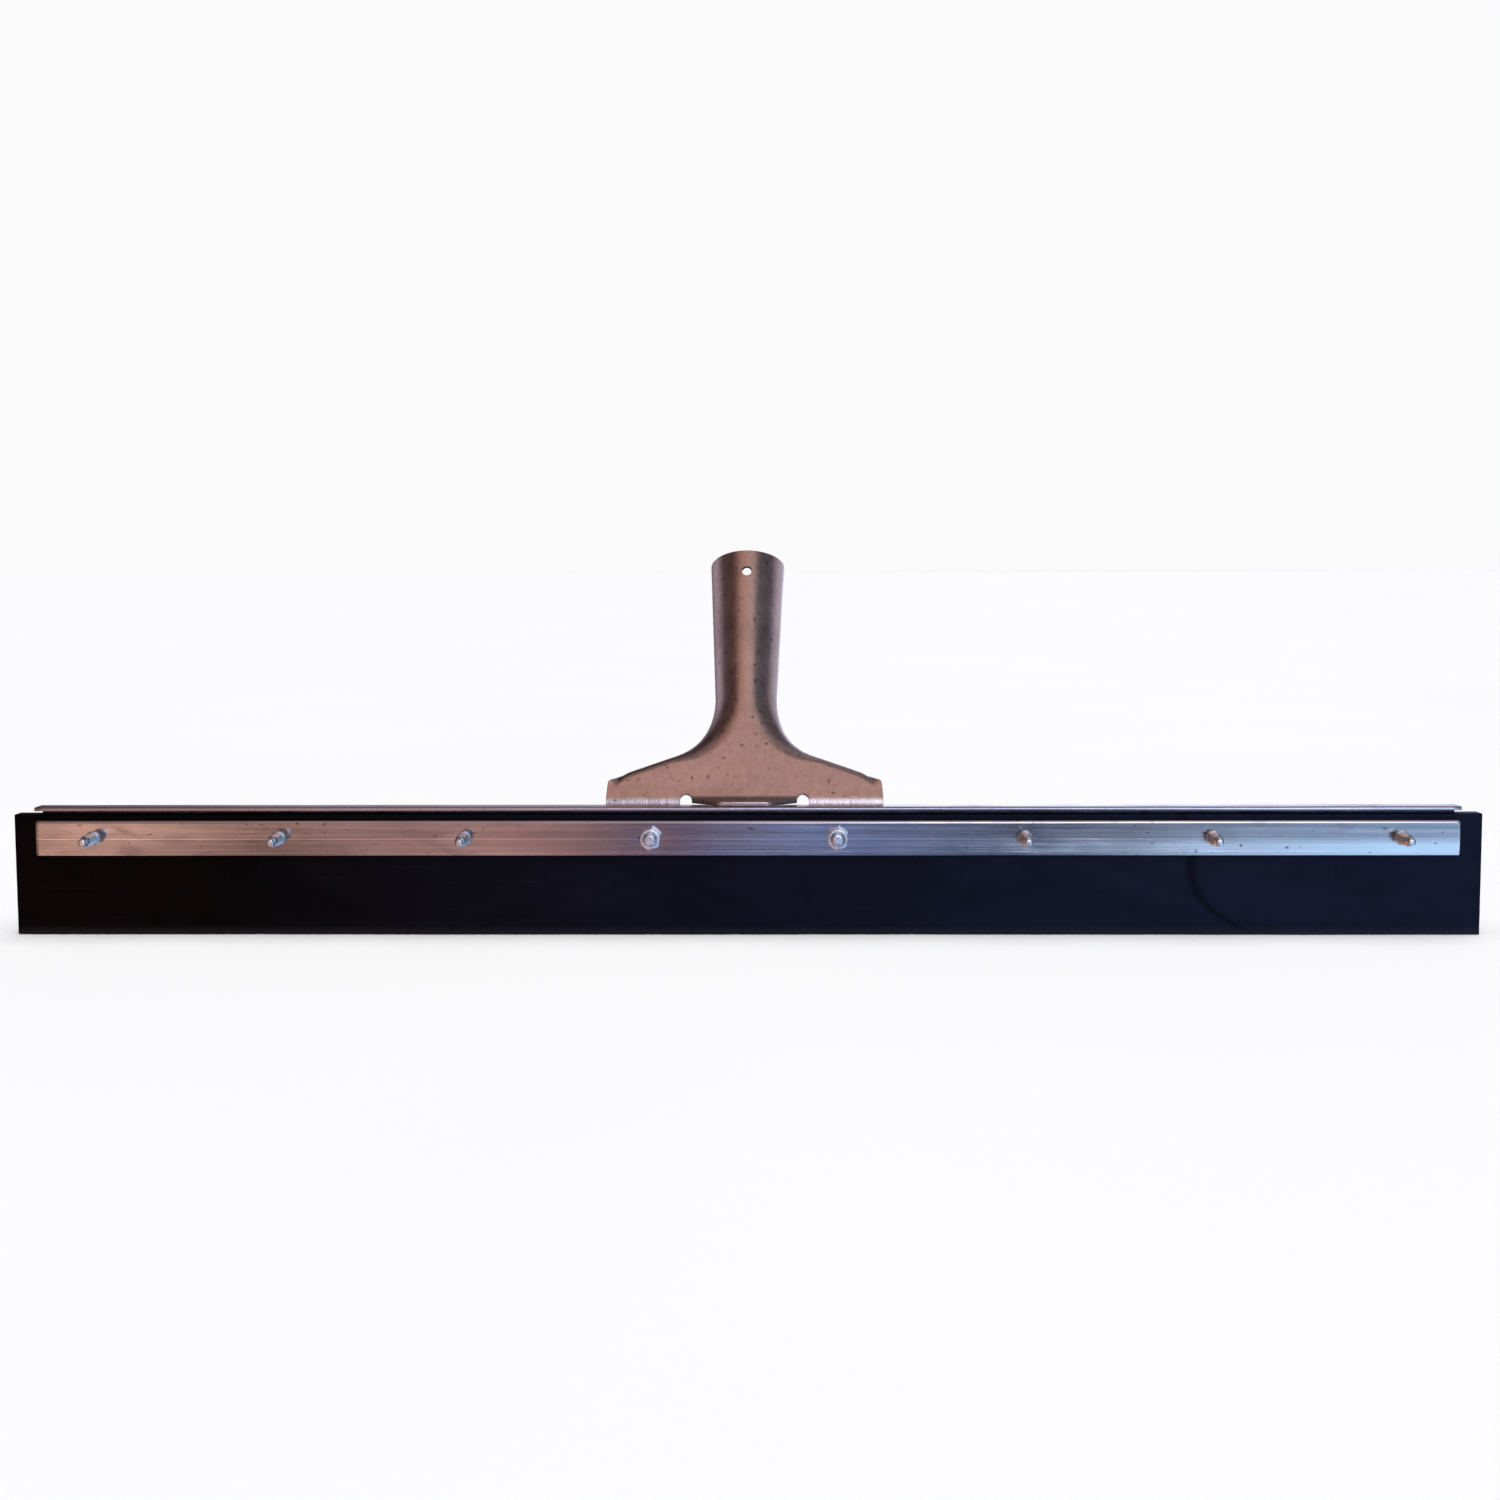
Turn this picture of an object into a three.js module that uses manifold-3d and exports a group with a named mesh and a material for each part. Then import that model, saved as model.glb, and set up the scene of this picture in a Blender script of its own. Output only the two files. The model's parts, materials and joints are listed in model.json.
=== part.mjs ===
// Straight floor squeegee head: a rubber blade clamped between a folded steel
// angle frame and a front strip, with a pressed steel handle socket behind it.
// Millimetres, +Z up. Origin: middle of the wiping edge of the rubber blade.
// +X runs along the blade, -Y is the front (strip side), the socket leans to +Y.

import * as THREE from 'three';
import { mergeVertices, mergeGeometries } from 'three/addons/utils/BufferGeometryUtils.js';
import Module from 'manifold-3d';

// ---------------------------------------------------------------- dimensions

const BLADE_LENGTH = 609.6;          // 24 in
const BLADE_HEIGHT = 50.8;           // 2 in
const BLADE_THICKNESS = 6.35;        // 1/4 in

const FRAME_LENGTH = 591;
const FRAME_SHEET = 1.6;
const FRAME_BEND_OUTER = 3.0;
const FLANGE_TOP_Z = 54;
const FLANGE_FRONT_Y = -5.2;
const LEG_BOTTOM_Z = 31;

const STRIP_LENGTH = 590;
const STRIP_HEIGHT = 14.9;
const STRIP_THICKNESS = 2.2;
const STRIP_BOTTOM_Z = 33.5;
const STRIP_EDGE_RISE = 1.5;          // rounded long edges, up the face
const STRIP_EDGE_DEPTH = 0.9;         // and through the thickness

const SCREW_PITCH = 77.5;
const SCREW_COUNT = 8;
const SCREW_Z = 41;
const CLEARANCE_HOLE = 5.6;
const RUBBER_HOLE = 5.2;

const TAPPING_DIAMETER = 4.8;
const TAPPING_LENGTH = 22.2;         // 7/8 in under the head
const TAPPING_POINT_DIAMETER = 3.4;
const TAPPING_POINT_LENGTH = 3.2;
const TAPPING_HOLE = 4.9;
const HEX_HEAD_FLATS = 7.9;          // 5/16 in
const HEX_HEAD_HEIGHT = 4.4;
const WASHER_FACE_DIAMETER = 10.4;
const WASHER_FACE_HEIGHT = 1.0;

const MACHINE_DIAMETER = 5.0;        // M5
const MACHINE_LENGTH = 16.8;
const PAN_HEAD_DIAMETER = 9.5;
const PAN_HEAD_HEIGHT = 3.6;
const SLOT_WIDTH = 1.3;
const SLOT_DEPTH = 1.6;

const NUT_FLATS = 8.0;               // M5 hexagon nut
const NUT_THICKNESS = 4.0;
const NUT_BORE = 5.1;
const NUT_TURN = THREE.MathUtils.degToRad(10);

const SOCKET_SHEET = 1.8;
const SOCKET_LEAN = THREE.MathUtils.degToRad(30);
const SOCKET_BEND_Z = 55.4;          // height where the foot and fan faces would meet
const FOOT_BEND_RADIUS = 8;
const FOOT_BOTTOM_Z = 32;
const FOOT_OUTER_X = 58;
const FOOT_CORNER = 4;
const NOTCH_X = 24.5;                // round-topped bend reliefs beside the tab
const NOTCH_RADIUS = 2.8;
const NOTCH_TOP_Z = 58.1;
// Distances marked S run up the leaning face.
const CORNER_X = 57;
const CORNER_S = 9.25;
const CORNER_DROP = 2;                // how far the corner lies below the line of the sloping edge
const SHOULDER_X = 33.85;
const SHOULDER_S = 20;
const SHOULDER_PULL = 11.4;           // reach of the curve's tangent at the shoulder
const NECK_PULL = 17.1;               // and at the neck
const NECK_RADIUS = 13.5;
const NECK_S = 52.7;
const MOUTH_RADIUS = 16.7;
const MOUTH_S = 120.7;
const ROLL_RADIUS = 4.2;             // rolled edge of the fan, to the outside
const ROLL_RUNOUT = 0.36;            // share of the slope over which the roll fades in
const SEAM_ANGLE = THREE.MathUtils.degToRad(178.4);
const HANDLE_SCREW_HOLE = 4.8;
const HANDLE_SCREW_S = 110.4;
const TAB_GAP = 0.3;
const TAB_BEND_RADIUS = 2.5;
const TAB_FRONT_Y = -4.7;
const TAB_CORNER_X = 12;
const TAB_FRONT_X = 8.7;
const TAB_CORNER_RUN = 1.3;

const ROUND_SEGMENTS = 32;

// ------------------------------------------------------------- derived sizes

const RUBBER_FRONT_Y = -BLADE_THICKNESS / 2;
const LEG_FRONT_Y = BLADE_THICKNESS / 2;
const LEG_BACK_Y = LEG_FRONT_Y + FRAME_SHEET;
const STRIP_FRONT_Y = RUBBER_FRONT_Y - STRIP_THICKNESS;
const FOOT_BACK_Y = LEG_BACK_Y + SOCKET_SHEET;
const STATIONS = Array.from(
  { length: SCREW_COUNT },
  (_, i) => (i - (SCREW_COUNT - 1) / 2) * SCREW_PITCH,
);
const NUT_STATIONS = STATIONS.filter((x) => Math.abs(x) < SCREW_PITCH);
const TAPPING_STATIONS = STATIONS.filter((x) => Math.abs(x) > SCREW_PITCH);

// ----------------------------------------------------------------- materials

const STEEL = new THREE.Color(0xa9a39f);
const ZINC = new THREE.Color(0xb9bcc4);
const BLACK_RUBBER = new THREE.Color(0x14141a);

function metal(color, roughness) {
  return new THREE.MeshStandardMaterial({ color, metalness: 1, roughness });
}

function rubber() {
  return new THREE.MeshStandardMaterial({ color: BLACK_RUBBER, metalness: 0, roughness: 0.7 });
}

// -------------------------------------------------------------- solid helpers

const wasm = await Module();
wasm.setup();

function toManifold(geometry) {
  const bare = geometry.clone();
  bare.deleteAttribute('normal');
  bare.deleteAttribute('uv');
  const welded = mergeVertices(bare, 1e-5);
  return new wasm.Manifold(new wasm.Mesh({
    numProp: 3,
    vertProperties: Float32Array.from(welded.attributes.position.array),
    triVerts: Uint32Array.from(welded.index.array),
  }));
}

function fromManifold(solid) {
  const mesh = solid.getMesh();
  const geometry = new THREE.BufferGeometry();
  const positions = new THREE.BufferAttribute(new Float32Array(mesh.vertProperties), 3);
  geometry.setAttribute('position', positions);
  geometry.setIndex(new THREE.BufferAttribute(new Uint32Array(mesh.triVerts), 1));
  geometry.computeVertexNormals();
  return geometry;
}

function cut(geometry, cutters) {
  const solid = cutters.reduce((left, tool) => left.subtract(toManifold(tool)), toManifold(geometry));
  return fromManifold(solid);
}

function join(geometries) {
  const solids = geometries.map(toManifold);
  return fromManifold(solids.reduce((left, right) => left.add(right)));
}

function intersect(first, second) {
  return fromManifold(toManifold(first).intersect(toManifold(second)));
}

// A cylinder along Y between two depths.
function rodAlongY(diameter, y0, y1, x, z, segments = ROUND_SEGMENTS) {
  const length = Math.abs(y1 - y0);
  const geometry = new THREE.CylinderGeometry(diameter / 2, diameter / 2, length, segments);
  return geometry.translate(x, (y0 + y1) / 2, z);
}

// A prism along X whose outline is a list of [y, z] points.
function prismAlongX(outline, length) {
  const shape = new THREE.Shape(outline.map(([y, z]) => new THREE.Vector2(y, z)));
  const geometry = new THREE.ExtrudeGeometry(shape, { depth: length, bevelEnabled: false });
  // Extruded Z becomes X, outline x becomes Y, outline y becomes Z.
  const toWorld = new THREE.Matrix4().set(
    0, 0, 1, -length / 2,
    1, 0, 0, 0,
    0, 1, 0, 0,
    0, 0, 0, 1,
  );
  return geometry.applyMatrix4(toWorld);
}

// Points on an arc, both ends included.
function arc(cy, cz, radius, from, to, steps) {
  const points = [];
  for (let i = 0; i <= steps; i += 1) {
    const a = from + ((to - from) * i) / steps;
    points.push([cy + radius * Math.cos(a), cz + radius * Math.sin(a)]);
  }
  return points;
}

// ------------------------------------------------------- blade, frame, strip

function rubberBlade() {
  const slab = new THREE.BoxGeometry(BLADE_LENGTH, BLADE_THICKNESS, BLADE_HEIGHT);
  slab.translate(0, 0, BLADE_HEIGHT / 2);
  const holes = STATIONS.map((x) => rodAlongY(RUBBER_HOLE, -8, 8, x, SCREW_Z));
  return cut(slab, holes);
}

function frameAngle() {
  const bendY = LEG_BACK_Y - FRAME_BEND_OUTER;
  const bendZ = FLANGE_TOP_Z - FRAME_BEND_OUTER;
  const bendInner = FRAME_BEND_OUTER - FRAME_SHEET;
  const outline = [
    [LEG_FRONT_Y, LEG_BOTTOM_Z],
    [LEG_BACK_Y, LEG_BOTTOM_Z],
    ...arc(bendY, bendZ, FRAME_BEND_OUTER, 0, Math.PI / 2, 8),
    [FLANGE_FRONT_Y, FLANGE_TOP_Z],
    [FLANGE_FRONT_Y, FLANGE_TOP_Z - FRAME_SHEET],
    ...arc(bendY, bendZ, bendInner, Math.PI / 2, 0, 6),
  ];
  const holes = STATIONS.map((x) => rodAlongY(CLEARANCE_HOLE, 0, 9, x, SCREW_Z));
  return cut(prismAlongX(outline, FRAME_LENGTH), holes);
}

function clampStrip() {
  const middleY = (STRIP_FRONT_Y + RUBBER_FRONT_Y) / 2;
  const middleZ = STRIP_BOTTOM_Z + STRIP_HEIGHT / 2;
  const flatY = STRIP_THICKNESS / 2 - STRIP_EDGE_DEPTH;
  const flatZ = STRIP_HEIGHT / 2 - STRIP_EDGE_RISE;
  const quarter = Math.PI / 2;
  const outline = [[1, -1], [1, 1], [-1, 1], [-1, -1]].flatMap(([sideY, sideZ], i) => (
    arc(0, 0, 1, (i - 1) * quarter, i * quarter, 5).map(([cos, sin]) => [
      middleY + sideY * flatY + STRIP_EDGE_DEPTH * cos,
      middleZ + sideZ * flatZ + STRIP_EDGE_RISE * sin,
    ])
  ));
  const holes = [
    ...TAPPING_STATIONS.map((x) => rodAlongY(TAPPING_HOLE, -9, 0, x, SCREW_Z)),
    ...NUT_STATIONS.map((x) => rodAlongY(CLEARANCE_HOLE, -9, 0, x, SCREW_Z)),
  ];
  return cut(prismAlongX(outline, STRIP_LENGTH), holes);
}

// ------------------------------------------------------------- handle socket

// The socket is one steel sheet. It is described by its front face and by the
// direction from the front face to the back face, patch by patch; `thicken`
// closes the patches into a solid.

const LEAN_UP = [Math.sin(SOCKET_LEAN), Math.cos(SOCKET_LEAN)];
const LEAN_BACK = [Math.cos(SOCKET_LEAN), -Math.sin(SOCKET_LEAN)];

// A sheet point: x, distance up the leaning face, depth behind it, and the
// direction of the back face given in the same three directions.
function leaning(x, s, depth, back = [0, 0, 1]) {
  const y = LEG_BACK_Y + s * LEAN_UP[0] + depth * LEAN_BACK[0];
  const z = SOCKET_BEND_Z + s * LEAN_UP[1] + depth * LEAN_BACK[1];
  const by = back[1] * LEAN_UP[0] + back[2] * LEAN_BACK[0];
  const bz = back[1] * LEAN_UP[1] + back[2] * LEAN_BACK[1];
  return { p: [x, y, z], n: [back[0], by, bz] };
}

function mix(a, b, t) {
  return a + (b - a) * t;
}

function smooth(t) {
  const c = Math.min(1, Math.max(0, t));
  return c * c * (3 - 2 * c);
}

// Half outline of the fan and tube, from the fan corner up to the mouth, with
// the inward direction, roll radius and roll angle at every station.
function rollStations() {
  const stations = [];
  const slopeS = CORNER_S + CORNER_DROP;
  const slope = Math.atan2(SHOULDER_S - slopeS, CORNER_X - SHOULDER_X);
  const slopeIn = [-Math.sin(slope), -Math.cos(slope)];
  const fadeSteps = 10;
  const slopeSteps = 16;
  for (let i = 0; i <= slopeSteps; i += 1) {
    const fading = i <= fadeSteps;
    const after = (i - fadeSteps) / (slopeSteps - fadeSteps);
    const t = fading ? (ROLL_RUNOUT * i) / fadeSteps : mix(ROLL_RUNOUT, 1, after);
    const rolled = smooth(t / ROLL_RUNOUT);
    stations.push({
      x: mix(CORNER_X, SHOULDER_X, t),
      s: mix(slopeS, SHOULDER_S, t) - CORNER_DROP * (1 - rolled),
      inward: slopeIn,
      radius: ROLL_RADIUS,
      angle: (Math.PI / 2) * rolled,
    });
  }
  const turn = new THREE.CubicBezierCurve(
    new THREE.Vector2(SHOULDER_X, SHOULDER_S),
    new THREE.Vector2(
      SHOULDER_X - SHOULDER_PULL * Math.cos(slope),
      SHOULDER_S + SHOULDER_PULL * Math.sin(slope),
    ),
    new THREE.Vector2(NECK_RADIUS, NECK_S - NECK_PULL),
    new THREE.Vector2(NECK_RADIUS, NECK_S),
  );
  const turnSteps = 18;
  for (let i = 1; i <= turnSteps; i += 1) {
    const t = i / turnSteps;
    const point = turn.getPoint(t);
    const heading = mix(Math.PI / 2 - slope, 0, smooth(t));
    stations.push({
      x: point.x,
      s: point.y,
      inward: [-Math.cos(heading), -Math.sin(heading)],
      radius: i === turnSteps ? NECK_RADIUS : mix(ROLL_RADIUS, point.x, smooth(t)),
      angle: mix(Math.PI / 2, SEAM_ANGLE, smooth(t)),
    });
  }
  const tubeSteps = 5;
  for (let i = 1; i <= tubeSteps; i += 1) {
    const t = i / tubeSteps;
    const radius = mix(NECK_RADIUS, MOUTH_RADIUS, t);
    stations.push({
      x: radius,
      s: mix(NECK_S, MOUTH_S, t),
      inward: [-1, 0],
      radius,
      angle: SEAM_ANGLE,
    });
  }
  return stations;
}

// Where the roll leaves the flat face.
function rollStart(station) {
  return [
    station.x + station.inward[0] * station.radius,
    station.s + station.inward[1] * station.radius,
  ];
}

// Sheet points across one rolled edge, from the flat face to the free edge,
// evenly spaced. Where the roll is less than square, the sheet runs on straight
// from the end of the roll to the outline.
function rollSection(station, side) {
  const { inward, radius, angle } = station;
  const [x0, s0] = rollStart(station);
  const open = angle < Math.PI / 2;
  const straight = open ? (radius * Math.cos(angle)) / (1 + Math.sin(angle)) : 0;
  const curved = radius * angle;
  const steps = 14;
  const row = [];
  for (let i = 0; i <= steps; i += 1) {
    // The unrolled end section is a single edge, so only its two ends count.
    const share = angle === 0 ? Math.floor(i / steps) : i / steps;
    const along = (curved + straight) * share;
    const a = Math.min(angle, along / radius);
    const beyond = Math.max(0, along - curved);
    const out = radius * Math.sin(a) + beyond * Math.cos(a);
    const depth = radius * (1 - Math.cos(a)) + beyond * Math.sin(a);
    row.push(rollPoint(x0, s0, inward, out, depth, a, side));
  }
  return row;
}

function rollPoint(x0, s0, inward, out, depth, a, side) {
  const x = side * (x0 - inward[0] * out);
  const s = s0 - inward[1] * out;
  const back = [side * inward[0] * Math.sin(a), inward[1] * Math.sin(a), Math.cos(a)];
  return leaning(x, s, depth, back);
}

// Half width of the notch at a height on the front of the sheet.
function notchHalfWidth(z) {
  const above = Math.max(0, z - (NOTCH_TOP_Z - NOTCH_RADIUS));
  return Math.sqrt(Math.max(0, NOTCH_RADIUS ** 2 - above ** 2));
}

// The flat of the fan: rolled sides, straight ends, notched lower edge.
function fanOutline(stations) {
  const bendS = FOOT_BEND_RADIUS * Math.tan(SOCKET_LEAN / 2);
  const rolled = stations.filter((station) => station.s <= NECK_S).map(rollStart);
  const notchZ = NOTCH_TOP_Z - NOTCH_RADIUS;
  const angleAt = (s) => Math.asin((SOCKET_BEND_Z + s * LEAN_UP[1] - notchZ) / NOTCH_RADIUS);
  const tabSide = Math.PI - angleAt(tabBendStart());
  const notch = arc(NOTCH_X, notchZ, NOTCH_RADIUS, tabSide, angleAt(bendS), 8)
    .map(([x, z]) => [x, (z - SOCKET_BEND_Z) / LEAN_UP[1]]);
  const right = [
    [FOOT_OUTER_X, bendS],
    [FOOT_OUTER_X - 0.35, CORNER_S - 2],
    [FOOT_OUTER_X - 0.55, CORNER_S - 0.7],
    [CORNER_X, CORNER_S],
    ...rolled,
  ];
  const left = right.slice(0, -1).map(([x, s]) => [-x, s]).reverse();
  const leftNotch = notch.map(([x, s]) => [-x, s]).reverse();
  return [...right, ...left, ...leftNotch, ...notch];
}

// Height on the leaning face where the tab starts to fold forward.
function tabBendStart() {
  const tabTopZ = FLANGE_TOP_Z + TAB_GAP + SOCKET_SHEET;
  const meet = (tabTopZ - SOCKET_BEND_Z) / LEAN_UP[1];
  return meet + TAB_BEND_RADIUS * Math.tan((Math.PI / 2 - SOCKET_LEAN) / 2);
}

// Rows of the tab fold, each from -x to +x, ending on the flat tab.
function tabFoldRows() {
  const start = tabBendStart();
  const first = leaning(0, start, 0).p;
  const cy = first[1] - TAB_BEND_RADIUS * LEAN_BACK[0];
  const cz = first[2] - TAB_BEND_RADIUS * LEAN_BACK[1];
  const steps = 7;
  const rows = [];
  for (let i = 0; i <= steps; i += 1) {
    const a = mix(SOCKET_LEAN, Math.PI / 2, i / steps);
    const n = [0, Math.cos(a), -Math.sin(a)];
    const y = cy + TAB_BEND_RADIUS * n[1];
    const z = cz + TAB_BEND_RADIUS * n[2];
    const half = NOTCH_X - notchHalfWidth(z);
    rows.push([{ p: [-half, y, z], n }, { p: [half, y, z], n }]);
  }
  return rows;
}

// Rows of one foot: the fold at its top, then the upright plate.
function footRows(side) {
  const tangent = FOOT_BEND_RADIUS * Math.tan(SOCKET_LEAN / 2);
  const cy = LEG_BACK_Y + FOOT_BEND_RADIUS;
  const cz = SOCKET_BEND_Z - tangent;
  const steps = 6;
  const rows = [];
  for (let i = steps; i >= 0; i -= 1) {
    const a = (SOCKET_LEAN * i) / steps;
    const n = [0, Math.cos(a), -Math.sin(a)];
    const y = cy - FOOT_BEND_RADIUS * n[1];
    const z = cz - FOOT_BEND_RADIUS * n[2];
    rows.push([
      { p: [side * (NOTCH_X + notchHalfWidth(z)), y, z], n },
      { p: [side * FOOT_OUTER_X, y, z], n },
    ]);
  }
  return rows;
}

function footPlate(side) {
  const topZ = SOCKET_BEND_Z - FOOT_BEND_RADIUS * Math.tan(SOCKET_LEAN / 2);
  const innerX = NOTCH_X + NOTCH_RADIUS;
  const c = FOOT_CORNER;
  const quarter = Math.PI / 2;
  const outline = [
    [innerX, topZ],
    ...arc(innerX + c, FOOT_BOTTOM_Z + c, c, 2 * quarter, 3 * quarter, 5),
    ...arc(FOOT_OUTER_X - c, FOOT_BOTTOM_Z + c, c, 3 * quarter, 4 * quarter, 5),
    [FOOT_OUTER_X, topZ],
  ];
  return outline.map(([x, z]) => ({ p: [side * x, LEG_BACK_Y, z], n: [0, 1, 0] }));
}

function tabPlate() {
  const [left, right] = tabFoldRows().at(-1);
  const n = [0, 0, -1];
  const z = left.p[2];
  const corner = TAB_FRONT_Y + TAB_CORNER_RUN;
  return [
    left,
    { p: [-TAB_CORNER_X, corner, z], n },
    { p: [-TAB_FRONT_X, TAB_FRONT_Y, z], n },
    { p: [TAB_FRONT_X, TAB_FRONT_Y, z], n },
    { p: [TAB_CORNER_X, corner, z], n },
    right,
  ];
}

// Adds a flat polygon of sheet points; `plane` gives its two drawing directions.
function addPolygon(sheet, points, plane) {
  const contour = points.map((point) => new THREE.Vector2(...plane(point.p)));
  const faces = THREE.ShapeUtils.triangulateShape(contour, []);
  faces.forEach(([a, b, c]) => sheet.push([points[a], points[b], points[c]]));
}

// Adds the surface between neighbouring rows of sheet points.
function addRows(sheet, rows) {
  for (let i = 0; i + 1 < rows.length; i += 1) {
    for (let j = 0; j + 1 < rows[i].length; j += 1) {
      const a = rows[i][j];
      const b = rows[i][j + 1];
      const c = rows[i + 1][j + 1];
      const d = rows[i + 1][j];
      sheet.push([a, b, c], [a, c, d]);
    }
  }
}

// Turns every triangle so that its front looks away from the back face.
function facedForward(triangle) {
  const [a, b, c] = triangle.map((point) => new THREE.Vector3(...point.p));
  const facing = b.clone().sub(a).cross(c.clone().sub(a));
  const back = triangle.reduce((sum, point) => sum.add(new THREE.Vector3(...point.n)), new THREE.Vector3());
  return facing.dot(back) > 0 ? [triangle[0], triangle[2], triangle[1]] : triangle;
}

// Closes an open sheet into a solid of even thickness.
function thicken(sheet, thickness) {
  const ids = new Map();
  const front = [];
  const back = [];
  const idOf = ({ p, n }) => {
    const key = p.map((v) => Math.round(v * 1e4)).join(',');
    if (!ids.has(key)) {
      ids.set(key, front.length);
      front.push(p);
      back.push(p.map((v, k) => v + n[k] * thickness));
    }
    return ids.get(key);
  };
  const faces = sheet.map(facedForward)
    .map((triangle) => triangle.map(idOf))
    .filter(([a, b, c]) => a !== b && b !== c && a !== c);
  const edges = new Map();
  faces.forEach(([a, b, c]) => {
    [[a, b], [b, c], [c, a]].forEach(([u, v]) => edges.set(`${u},${v}`, [u, v]));
  });
  const count = front.length;
  const index = [];
  faces.forEach(([a, b, c]) => index.push(a, b, c, c + count, b + count, a + count));
  edges.forEach(([u, v]) => {
    if (!edges.has(`${v},${u}`)) {
      index.push(v, u, u + count, v, u + count, v + count);
    }
  });
  const geometry = new THREE.BufferGeometry();
  geometry.setAttribute('position', new THREE.Float32BufferAttribute([...front, ...back].flat(), 3));
  geometry.setIndex(index);
  return geometry;
}

function handleSocket() {
  const stations = rollStations();
  const sheet = [];
  const fan = fanOutline(stations).map(([x, s]) => leaning(x, s, 0));
  addPolygon(sheet, fan, ([x, , z]) => [x, z]);
  [-1, 1].forEach((side) => {
    addRows(sheet, stations.map((station) => rollSection(station, side)));
    addRows(sheet, footRows(side));
    addPolygon(sheet, footPlate(side), ([x, , z]) => [x, z]);
  });
  addRows(sheet, tabFoldRows());
  addPolygon(sheet, tabPlate(), ([x, y]) => [x, y]);
  const body = thicken(sheet, SOCKET_SHEET);
  return cut(body, socketHoles());
}

function socketHoles() {
  const screw = new THREE.CylinderGeometry(HANDLE_SCREW_HOLE / 2, HANDLE_SCREW_HOLE / 2, 12, 24);
  screw.rotateX(-SOCKET_LEAN);
  const centre = leaning(0, HANDLE_SCREW_S, 0).p;
  screw.translate(...centre);
  const feet = NUT_STATIONS.map((x) => rodAlongY(CLEARANCE_HOLE, 3, 9, x, SCREW_Z));
  return [screw, ...feet];
}

// ------------------------------------------------------------------ fasteners

// A turned solid about the Y axis; the profile is [radius, y] from axis to axis.
function turned(profile, x, segments = ROUND_SEGMENTS) {
  const points = profile.map(([r, y]) => new THREE.Vector2(r, y));
  const geometry = new THREE.LatheGeometry(points, segments);
  return geometry.translate(x, 0, SCREW_Z);
}

// A hexagon along Y with one corner straight up, then turned towards +X.
function hexPrism(flats, y0, y1, x, turn = 0) {
  const radius = flats / Math.sqrt(3);
  const geometry = new THREE.CylinderGeometry(radius, radius, Math.abs(y1 - y0), 6);
  return geometry.rotateY(turn).translate(x, (y0 + y1) / 2, SCREW_Z);
}

function tappingScrew(x) {
  const seat = LEG_BACK_Y;
  const r = TAPPING_DIAMETER / 2;
  const tip = seat - TAPPING_LENGTH;
  const pointStart = tip + TAPPING_POINT_LENGTH;
  const pointRadius = TAPPING_POINT_DIAMETER / 2;
  const shank = turned([
    [0, tip],
    [pointRadius - 0.5, tip],
    [pointRadius, tip + 0.5],
    [pointRadius, pointStart],
    [r, pointStart + 1.0],
    [r, seat],
    [WASHER_FACE_DIAMETER / 2, seat],
    [WASHER_FACE_DIAMETER / 2, seat + WASHER_FACE_HEIGHT * 0.6],
    [WASHER_FACE_DIAMETER / 2 - 0.5, seat + WASHER_FACE_HEIGHT],
    [0, seat + WASHER_FACE_HEIGHT],
  ], x);
  const top = seat + HEX_HEAD_HEIGHT;
  const hexagon = hexPrism(HEX_HEAD_FLATS, seat + 0.3, top, x);
  const corner = HEX_HEAD_FLATS / Math.sqrt(3);
  const crown = turned([
    [0, seat],
    [corner + 1, seat],
    [corner + 1, top - 0.6 - 0.58],
    [HEX_HEAD_FLATS / 2 - 0.2, top],
    [0, top],
  ], x, 48);
  return join([shank, intersect(hexagon, crown)]);
}

function machineScrew(x) {
  const seat = FOOT_BACK_Y;
  const r = MACHINE_DIAMETER / 2;
  const tip = seat - MACHINE_LENGTH;
  const head = PAN_HEAD_DIAMETER / 2;
  const top = seat + PAN_HEAD_HEIGHT;
  const body = turned([
    [0, tip],
    [r - 0.45, tip],
    [r, tip + 0.45],
    [r, seat],
    [head - 0.1, seat],
    [head, seat + 0.4],
    [head, seat + 1.6],
    [head - 0.35, seat + 2.4],
    [head - 1.1, seat + 3.1],
    [head - 2.1, seat + 3.5],
    [0, top],
  ], x);
  const slot = new THREE.BoxGeometry(PAN_HEAD_DIAMETER + 2, SLOT_DEPTH * 2, SLOT_WIDTH);
  slot.translate(x, top, SCREW_Z);
  return cut(body, [slot]);
}

function hexNut(x) {
  const back = STRIP_FRONT_Y;
  const front = STRIP_FRONT_Y - NUT_THICKNESS;
  const corner = NUT_FLATS / Math.sqrt(3);
  const flat = NUT_FLATS / 2;
  const drop = 0.45;
  const chamfer = turned([
    [0, front],
    [flat - 0.15, front],
    [corner + 0.5, front + drop + 0.35],
    [corner + 0.5, back - drop - 0.35],
    [flat - 0.15, back],
    [0, back],
  ], x, 48);
  const body = intersect(hexPrism(NUT_FLATS, front, back, x, NUT_TURN), chamfer);
  return cut(body, [rodAlongY(NUT_BORE, front - 1, back + 1, x, SCREW_Z)]);
}

// ------------------------------------------------------------------- assembly

function named(name, geometry, material) {
  const mesh = new THREE.Mesh(geometry, material);
  mesh.name = name;
  return mesh;
}

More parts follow.
